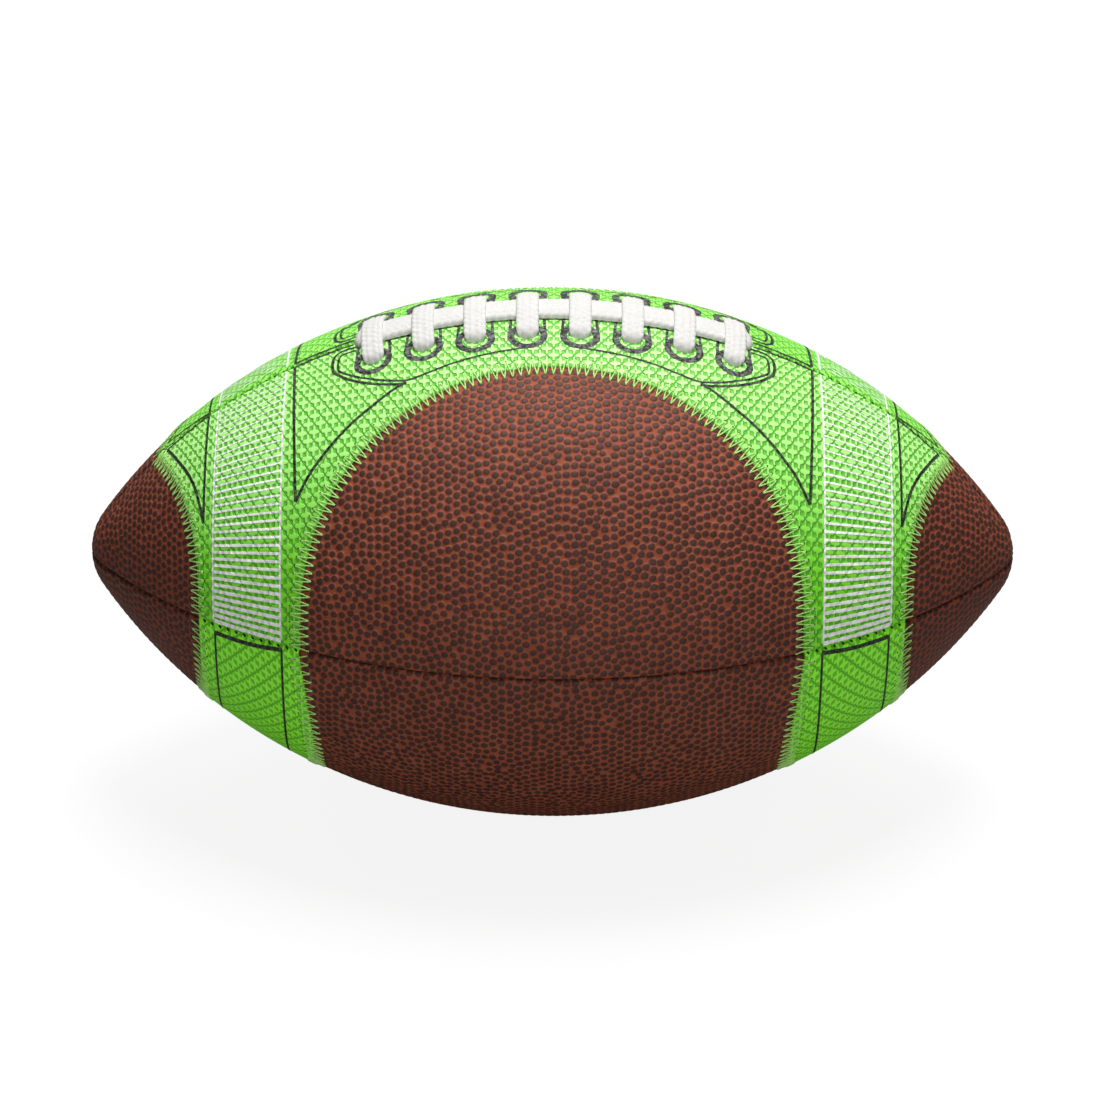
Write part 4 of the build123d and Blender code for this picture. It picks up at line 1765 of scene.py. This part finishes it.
@dataclass
class Prints:
    """The printed lines on the grip: ruled stripes, thin outlines and the rings round the lace holes."""

    cover: Cover = Cover()
    pattern: GripPattern = GripPattern()
    lift: float = 0.07
    step: float = 0.42
    hole_arcs: tuple[float, ...] = ()
    ring_offset: float = 14.2
    stem_offset: float = 12.8
    stem_top: float = 3.0
    ring_radius: float = 5.1
    ring_stroke: float = 2.15
    stem_stroke: float = 0.95
    fine_stroke: float = 0.8
    line_stroke: float = 1.0
    stripe_inner: float = 82.2
    stripe_outer: float = 103.4
    stripe_first: float = 4.5
    stripe_last: float = 88.1
    stripe_count: int = 36
    stripe_easing: float = 0.06
    border_stroke: float = 0.7
    border_top: float = 1.5
    rule_stroke: float = 0.38
    rule_growth: float = 0.95
    rule_power: float = 1.7
    ring_ends: Span = (-58.0, 238.0)
    ring_places: int = 61
    stem_gap: float = 0.35
    stem_lean: float = 0.5
    curve_places: int = 8
    frame_inner: float = 82.0
    frame_outer: float = 103.0
    frame_stroke: float = 0.85
    frame_top_stroke: float = 1.5
    frame_overrun: float = 0.3
    frame_tops: tuple[float, float, float] = (91.0, 92.4, 92.9)
    frame_sides: Span = (91.2, 93.1)
    frame_bottom: float = 178.6
    crease: float = 80.0

    def build(self) -> None:
        """Builds and dresses the printed lines of both halves."""
        for half in Half:
            self.print_piece(f"white_rules_{half.label}", Panel.UPPER, half, self.rules(), WHITE_INK)
            self.print_piece(f"black_rings_{half.label}", Panel.UPPER, half, self.rings(), RING_INK)
            black = [self.mirrored(line) for line in self.outlines()] + self.outlines()
            self.print_piece(f"black_outlines_{half.label}", Panel.UPPER, half, black, BLACK_INK)
            frames = self.frames() + [self.mirrored(line) for line in self.frames()]
            self.print_piece(f"black_frames_{half.label}", Panel.LOWER, half, frames, BLACK_INK)

    def mirrored(self, line: tuple) -> tuple:
        """A line's mirror image at the other end of the ball."""
        return line[0] * (-1, 1), line[1]

    def path(self, *places: Span) -> Array:
        """Arcs and angles of places given by their distance along the axis and their angle in degrees."""
        found = np.array(places, float)
        return np.stack((self.cover.ball.arc(found[:, 0]), np.radians(found[:, 1])), -1)

    def curved(self, *places: Span) -> Array:
        """As path, with a smooth curve through the places.

        Args:
            places: The places.

        Returns:
            The arcs and angles along the curve.
        """
        corners = self.path(*places)
        before, after = 2 * corners[:1] - corners[1:2], 2 * corners[-1:] - corners[-2:-1]
        spread = np.concatenate((before, corners, after))
        share = np.linspace(0, 1, self.curve_places + 1)[:-1, None]
        parts = []
        for a, b, c, d in zip(spread, spread[1:], spread[2:], spread[3:]):
            bend = 2 * a - 5 * b + 4 * c - d + share * (3 * (b - c) + d - a)
            parts.append(b + 0.5 * share * (c - a + share * bend))
        return np.concatenate(parts + [corners[-1:]])

    def rules(self) -> list:
        """The ruled stripe at both ends: its two borders, and cross lines that thicken downwards.

        Returns:
            Each line's arcs and angles, and its width.
        """
        lines = []
        for side in Side:
            for edge in (self.stripe_inner, self.stripe_outer):
                ends = [(side.value * edge, angle) for angle in (self.border_top, self.stripe_last)]
                lines.append((self.path(*ends), self.border_stroke))
            share = np.linspace(0, 1, self.stripe_count)
            share = share + self.stripe_easing * share * (1 - share)
            for angle in self.stripe_first + (self.stripe_last - self.stripe_first) * share:
                ends = [(side.value * edge, angle) for edge in (self.stripe_inner, self.stripe_outer)]
                stroke = self.rule_stroke + self.rule_growth * (angle / 90) ** self.rule_power
                lines.append((self.path(*ends), stroke))
        return lines

    def rings(self) -> list:
        """The rings round the lace holes of one half, each with two stems up to the lace.

        Returns:
            Each line's arcs and angles, and its width.
        """
        lines = []
        for hole in self.hole_arcs:
            radius = float(self.cover.ball.radius(hole))
            turn = np.linspace(*np.radians(self.ring_ends), self.ring_places)
            arc = hole + self.ring_radius * np.cos(turn)
            angle = (self.ring_offset + self.ring_radius * np.sin(turn)) / radius
            lines.append((np.stack((arc, angle), -1), self.ring_stroke))
            for side in Side:
                foot = hole + side.value * (self.ring_radius + self.stem_gap)
                top = foot - side.value * self.stem_lean
                stem = (foot, self.stem_offset / radius), (top, self.stem_top / radius)
                lines.append((np.array(stem), self.stem_stroke))
        return lines

    def outlines(self) -> list:
        """The thin outlines at the left end: two long triangles and the tab round the lacing.

        Returns:
            Each line's arcs and angles, and its width.
        """
        outer = self.curved(
            (-119.8, 3.9), (-115.9, 18), (-112.2, 28.6), (-110.0, 35.5), (-107.9, 44.5), (-106.6, 52)
        )
        inner = self.curved(
            (-77.6, 48.8), (-73.6, 42), (-69.6, 37.4), (-65.4, 33.3), (-60, 29.1), (-55.4, 26.2),
            (-51.2, 23.7), (-47.9, 21.9), (-44.6, 20.6),
        )  # fmt: skip
        tab = self.curved(
            (-59.6, 3.0), (-64.6, 2.7), (-67.3, 5.0), (-67.4, 9.9), (-65.9, 12.5), (-61.2, 16.2),
            (-54.6, 19.1), (-48, 20.6), (-44.4, 20.9),
        )  # fmt: skip
        rim = self.curved(
            (-60.4, 4.5), (-64.6, 4.6), (-65.7, 6.4), (-65.8, 10.0), (-64.7, 12.0), (-59.7, 15.4),
            (-53, 18.2), (-48, 19.5), (-43.8, 20.0), (-38, 18.8), (-30, 16.8), (-20, 15.1),
            (-10.5, 14.0), (-5.8, 13.6),
        )  # fmt: skip
        return [
            (self.path((-119.8, 3.9), (-106.5, 1.2)), self.line_stroke),
            (self.path((-106.5, 0.9), (-106.5, 52)), self.line_stroke),
            (outer, self.line_stroke),
            (self.path((-79.6, 1.0), (-79.0, 20), (-77.6, 48.8)), self.line_stroke),
            (self.path((-79.6, 1.2), (-61.5, 1.2)), self.line_stroke),
            (inner, self.line_stroke),
            (tab, self.line_stroke),
            (rim, self.fine_stroke),
        ]

    def frames(self) -> list:
        """The open frame on the left lower band: a thick top line and two sides.

        Returns:
            Each line's arcs and angles, and its width.
        """
        inner, outer = -self.frame_inner, -self.frame_outer
        places = inner + self.frame_overrun, (inner + outer) / 2, outer - self.frame_overrun
        lines = [(self.curved(*zip(places, self.frame_tops)), self.frame_top_stroke)]
        for at, start in zip((inner, outer), self.frame_sides):
            lines.append((self.path((at, start), (at, self.frame_bottom)), self.frame_stroke))
        return lines

    def ribbon(self, line: Array, stroke: float) -> Pair:
        """A grid of places over a printed line.

        Args:
            line: The line, as arcs and angles.
            stroke: Its width.

        Returns:
            The arcs and the angles, one row across the line for each step along it.
        """
        metric = np.stack((line[:, 0], line[:, 1] * self.cover.ball.radius(line[:, 0])), -1)
        length = np.hypot(*np.diff(metric, axis=0).T).sum()
        shares = np.linspace(0, 1, max(3, math.ceil(length / self.step) + 1))
        scale = (1, self.cover.ball.radius(0.0))
        places = resample(line * scale, shares) / scale
        near = self.cover.ball.radius(places[:, 0])
        ways = np.gradient(places, axis=0) * np.stack((np.ones_like(near), near), -1)
        ways /= np.linalg.norm(ways, axis=1)[:, None]
        aside = np.linspace(-1, 1, 2 * math.ceil(stroke / 2 / self.step) + 1) * stroke / 2
        arc = places[:, :1] - ways[:, 1:] * aside
        return arc, places[:, 1:] + ways[:, :1] * aside / near[:, None]

    def print_piece(self, name: str, panel: Panel, half: Half, lines: list, finish: Finish) -> None:
        """Makes one piece of printed lines, just clear of the grip below.

        Args:
            name: The piece's name.
            panel: The panel that it lies on.
            half: The half of the ball.
            lines: Each line's arcs and angles, and its width.
            finish: The ink it wears.
        """
        points, flats, faces, count = [], [], [], 0
        for line, stroke in lines:
            arc, angle = self.ribbon(line, stroke)
            flat = self.cover.mapped(arc, angle, panel)
            off = self.pattern.surface(flat, self.cover.grip_rise) + self.lift
            points.append(self.cover.ball.place(arc, angle, off, half).reshape(-1, 3))
            flats.append(flat.reshape(-1, 2))
            found = quads(np.arange(arc.size).reshape(arc.shape))
            out = faces_out(points[-1][found[0]], self.cover.ball.centre_height)
            faces += (count + (found if out else found[:, ::-1])).tolist()
            count += arc.size
        piece = new_mesh(name, np.concatenate(points), faces, self.crease)
        set_map(piece, np.concatenate(flats))
        finish_piece(piece, finish, "tacky_grip")


@dataclass
class Lacing:
    """The lace: a flat strand along the lacing and eight crossings over it, drawn in at the holes."""

    cover: Cover = Cover()
    crossing_count: int = 8
    pitch: float = 16.0
    row_offset: float = 13.7
    width: float = 6.9
    thickness: float = 1.7
    drawn_width: float = 4.6
    strand_width: float = 11.6
    strand_dome: float = 1.85
    strand_base: float = 0.4
    strand_height: float = 0.9
    strand_end: float = 4.9
    strand_route: tuple = ((0.0, -6.5), (0.0, -2.5), (0.4, -0.2), (2.6, 0.0))
    strand_turn: float = 5.0
    strand_places: int = 41
    strand_taper: float = 4.0
    strand_fall: float = 3.0
    strand_tilt: float = 2.5
    strand_tip: float = 0.72
    strand_pinch: float = 0.25
    front_route: tuple = ((-0.3, -5.0), (0.1, -1.6), (0.1, 0.7), (-1.4, 1.75), (-4.2, 2.0))
    rear_route: tuple = ((-0.3, -5.0), (0.1, -2.0), (-0.1, 0.2), (-1.6, 1.0), (-4.2, 1.3))
    foot: Span = (1.6, 2.45)
    shoulder: Span = (-0.4, -0.45)
    crown_half: float = 2.6
    crown_bow: float = 0.05
    drawn_top: float = 1.7
    drawn_fall: float = 2.4
    drawn_power: float = 1.3
    drawn_round: float = 0.25
    sink: float = 0.7
    plait_across: float = 1.9
    plait_along: float = 2.4
    plait_depth: float = 0.34
    plait_lean: float = 0.42
    plait_shift: float = 0.25
    plait_level: float = 0.6
    roundness: float = 0.72
    step: float = 0.36
    around: int = 52
    rounds: int = 3
    crease: float = 60.0

    def crossing_arcs(self) -> tuple[float, ...]:
        """Arcs of the crossings."""
        return tuple((at - (self.crossing_count - 1) / 2) * self.pitch for at in range(self.crossing_count))

    def build(self) -> None:
        """Builds and dresses the lace as one piece."""
        tubes = [self.strand()] + [self.crossing(arc) for arc in self.crossing_arcs()]
        points, faces, count = [], [], 0
        for rings in tubes:
            rows, around = rings.shape[:2]
            index = count + np.arange(rows * around).reshape(rows, around)
            faces += quads(np.concatenate((index, index[:, :1]), 1)).tolist()
            faces += [index[0, ::-1].tolist(), index[-1].tolist()]
            points.append(rings.reshape(-1, 3))
            count += rows * around
        piece = new_mesh("braided_lace", np.concatenate(points) * MM, faces, self.crease)
        edited(piece, ((bpy.ops.mesh.normals_make_consistent, {"inside": False}),))
        finish_piece(piece, LACE_YARN, "lace_cord", "lace")

    def plait(self, along: Array, across: Array) -> Array:
        """Relief of the braid: leaning plaits in columns, every other column leaning the other way.

        Args:
            along: Distances along the lace.
            across: Distances across it, round its section.

        Returns:
            Heights over the lace's plain surface.
        """
        column = np.floor(across / self.plait_across)
        lean = np.where(column % 2 == 0, 1, -1)
        aside = across / self.plait_across - column - 0.5
        ahead = along / self.plait_along + self.plait_lean * lean * aside + self.plait_shift * lean
        ahead = ahead - np.floor(ahead) - 0.5
        dome = np.cos(math.pi * aside) * np.cos(math.pi * ahead)
        return self.plait_depth * (np.sqrt(dome) - self.plait_level)

    def swept(self, path: Array, out: Array, widths: Array, domes: Array, bases: Array) -> Array:
        """Rings of a braided lace along a path.

        Args:
            path: Points along the lace's middle.
            out: Directions out of the lace's flat face at each point.
            widths: Its width at each point.
            domes: How far it rises over its widest line at each point.
            bases: How far it reaches under that line at each point.

        Returns:
            One ring of points for each point of the path.
        """
        ahead = np.gradient(path, axis=0)
        run = np.concatenate(((0.0,), np.cumsum(np.linalg.norm(np.diff(path, axis=0), axis=1))))
        ahead /= np.linalg.norm(ahead, axis=1)[:, None]
        aside = np.cross(ahead, out)
        aside /= np.linalg.norm(aside, axis=1)[:, None]
        out = np.cross(aside, ahead)
        turn = np.linspace(0, 2 * math.pi, self.around, endpoint=False)
        flat = np.sign(np.cos(turn)) * np.abs(np.cos(turn)) ** self.roundness
        tall = np.sign(np.sin(turn)) * np.abs(np.sin(turn)) ** self.roundness
        x = widths[:, None] / 2 * flat
        y = tall * np.where(tall >= 0, domes[:, None], bases[:, None])
        across = np.where(tall >= 0, x, 2 * widths[:, None] - x)
        relief = self.plait(run[:, None] + 0 * x, across)
        normal_x, normal_y = flat * 2 * domes[:, None], tall * widths[:, None]
        size = np.hypot(normal_x, normal_y)
        x = x + relief * normal_x / size
        y = y + relief * normal_y / size
        return path[:, None] + aside[:, None] * x[..., None] + out[:, None] * y[..., None]

    def smooth(self, corners: Array) -> Array:
        """A line of corners with its corners cut to a smooth curve, in even steps.

        Args:
            corners: The line's corners.

        Returns:
            The points along the curve.
        """
        for _ in range(self.rounds):
            near, far = corners[:-1], corners[1:]
            cut = np.stack((0.75 * near + 0.25 * far, 0.25 * near + 0.75 * far), 1)
            corners = np.concatenate((corners[:1], cut.reshape(-1, corners.shape[1]), corners[-1:]))
        run = np.concatenate(((0.0,), np.cumsum(np.linalg.norm(np.diff(corners, axis=0), axis=1))))
        even = np.linspace(0, run[-1], math.ceil(run[-1] / self.step) + 1)
        return np.stack([np.interp(even, run, part) for part in corners.T], -1)

    def strand(self) -> Array:
        """The lengthwise strand, its ends turned down into the ball.

        Returns:
            Rings of points along it.
        """
        ball, middle = self.cover.ball, self.strand_height
        end = self.crossing_arcs()[-1] + self.strand_end
        inner = np.linspace(-end + self.strand_turn, end - self.strand_turn, self.strand_places)
        corners = [(in_from - end, middle + up) for in_from, up in self.strand_route]
        line = corners + [(arc, middle) for arc in inner] + [(-a, h) for a, h in corners[::-1]]
        line = self.smooth(np.array(line))
        along, height = ball.meridian(line[:, 0], line[:, 1])
        path = np.stack((along, 0 * along, ball.centre_height + height), -1)
        out = np.stack((line[:, 0] / ball.belly_radius, 0 * along, np.ones_like(along)), -1)
        ends = np.clip((end - np.abs(line[:, 0])) / self.strand_taper, 0, 1)
        steep = np.clip((middle - line[:, 1]) / self.strand_fall, 0, 1)
        out[:, 0] += np.sign(line[:, 0]) * self.strand_tilt * steep
        taper = self.strand_tip + (1 - self.strand_tip) * np.sqrt(ends)
        widths = self.strand_width * taper * (1 - self.strand_pinch * steep)
        domes, bases = (np.full(len(path), size) for size in (self.strand_dome, self.strand_base))
        return self.swept(path, out, widths, domes, bases)

    def crossing(self, arc: float) -> Array:
        """One crossing, from its front hole over the strand to its rear hole.

        Args:
            arc: The crossing's arc.

        Returns:
            Rings of points along it.
        """
        ball = self.cover.ball
        crown = self.strand_height + self.strand_dome + self.thickness / 2 - self.sink
        edge = self.strand_width / 2
        shoulder = edge + self.shoulder[0], crown + self.shoulder[1]
        over = [(edge + self.foot[0], self.foot[1]), shoulder, (self.crown_half, crown)]
        front, rear = (
            [(self.row_offset + out, up) for out, up in route] + over
            for route in (self.front_route, self.rear_route)
        )
        corners = [(-y, z) for y, z in front] + [(0.0, crown + self.crown_bow)] + rear[::-1]
        line = self.smooth(np.array(corners))
        lean = arc / ball.belly_radius
        upright = np.array((math.sin(lean), 0.0, math.cos(lean)))
        round_radius = float(ball.radius(arc)) / math.cos(lean)
        turn = line[:, 0] / round_radius
        reach = (round_radius + line[:, 1]) * np.cos(turn) - round_radius + ball.belly_radius
        middle = np.array((0.0, 0.0, ball.centre_height - ball.belly_drop))
        path = middle + reach[:, None] * upright
        path[:, 1] += (round_radius + line[:, 1]) * np.sin(turn)
        out = np.cross(np.array((math.cos(lean), 0.0, -math.sin(lean))), np.gradient(path, axis=0))
        depth = np.clip((self.drawn_top - line[:, 1]) / self.drawn_fall, 0, 1)
        widths = self.width - (self.width - self.drawn_width) * depth**self.drawn_power
        halves = self.thickness / 2 + self.drawn_round * depth
        return self.swept(path, out, widths, halves, halves)


@dataclass
class Studio:
    """The plain studio: a pale floor, four soft lamps and the camera of the photograph."""

    ball: Ball = Ball()
    picture: float = 1106.0
    pixel: float = 0.3152
    distance: float = 1576.0
    elevation: float = 29.0
    roll: float = 0.33
    right: float = 0.5
    down: float = 2.7
    sensor: float = 36.0
    floor_size: float = 12.0
    sky: float = 0.07
    lamp_aim: tuple[float, float, float] = (0.0, 0.0, 0.08)
    lamps: tuple = (
        ("overhead", (0.1, 0.12, 1.5), 0.7, 25.0),
        ("crown_light", (0.1, 0.9, 1.3), 1.0, 11.0),
        ("front_fill", (0.2, -1.9, 0.4), 1.0, 15.0),
        ("rear_fill", (-0.2, 1.9, 0.5), 1.2, 3.0),
    )

    def build(self) -> None:
        """Sets up the camera, the floor, the lamps, the sky and the view."""
        bpy.context.scene.view_settings.view_transform = "Standard"
        self.camera()
        self.floor()
        for lamp in self.lamps:
            self.lamp(*lamp)
        self.world()

    def camera(self) -> None:
        """Places the camera of the photograph."""
        lean = math.radians(self.elevation)
        towards = Vector((0, -math.cos(lean), math.sin(lean)))
        upwards = Vector((0, math.sin(lean), math.cos(lean)))
        centre = Vector((0, 0, self.ball.centre_height)) * MM
        aside = Vector((1, 0, 0)) * self.right - upwards * self.down
        aim = centre + aside * self.pixel * MM
        made = bpy.data.cameras.new("photograph_view")
        made.sensor_width = self.sensor
        made.lens = self.sensor * self.distance / (self.picture * self.pixel)
        eye = added(made.name, made)
        turn = (-towards).to_track_quat("-Z", "Y").to_matrix().to_4x4()
        tilt = Matrix.Rotation(math.radians(self.roll), 4, "Z")
        eye.matrix_world = Matrix.Translation(aim + towards * self.distance * MM) @ turn @ tilt
        bpy.context.scene.camera = eye

    def floor(self) -> None:
        """Lays the paper floor."""
        bpy.ops.object.select_all(action="DESELECT")
        bpy.ops.mesh.primitive_plane_add(size=self.floor_size)
        floor = bpy.context.object
        floor.name = "studio_floor"
        floor.data.materials.append(FLOOR_PAPER.material())

    def lamp(self, name: str, place: tuple, size: float, power: float) -> None:
        """Hangs a soft square lamp.

        Args:
            name: The lamp's name.
            place: Where it hangs, in metres.
            size: The length of its sides, in metres.
            power: Its power in watts.
        """
        made = bpy.data.lights.new(name, "AREA")
        made.size = size
        made.energy = power
        way = Vector(self.lamp_aim) - Vector(place)
        turn = way.to_track_quat("-Z", "Y").to_matrix().to_4x4()
        added(name, made).matrix_world = Matrix.Translation(place) @ turn

    def world(self) -> None:
        """Lights the scene evenly from all round, and shows white behind the floor."""
        made = bpy.data.worlds.new("white_sky")
        bpy.context.scene.world = made
        level = {"Value": "rays.Is Camera Ray", "To Min": self.sky, "To Max": 1.0}
        grow(made, [
            ("rays", "LightPath", {}, {}),
            ("level", "MapRange", {}, level),
            ("sky", "Background", {}, {"Color": linear("#FFFFFF"), "Strength": "level"}),
            ("output", "OutputWorld", {}, {"Surface": "sky"}),
        ])  # fmt: skip


def dress_frame() -> None:
    """Gives each CAD node that is carried over its finish."""
    for finish, nodes in CARRIED_OVER.items():
        for name in nodes:
            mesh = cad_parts[name].data
            mesh.materials.clear()
            mesh.materials.append(finish.material())
            log.info("%s: kept, in %s", name, finish.name)


def main() -> None:
    """Builds the ball's looks in order."""
    logging.basicConfig(level=logging.INFO, format="%(name)s: %(message)s")
    lacing = Lacing()
    CoverPieces(hole_arcs=lacing.crossing_arcs()).build()
    Stitching().build()
    Prints(hole_arcs=lacing.crossing_arcs()).build()
    lacing.build()
    dress_frame()
    Studio().build()


if __name__ == "__main__":
    main()
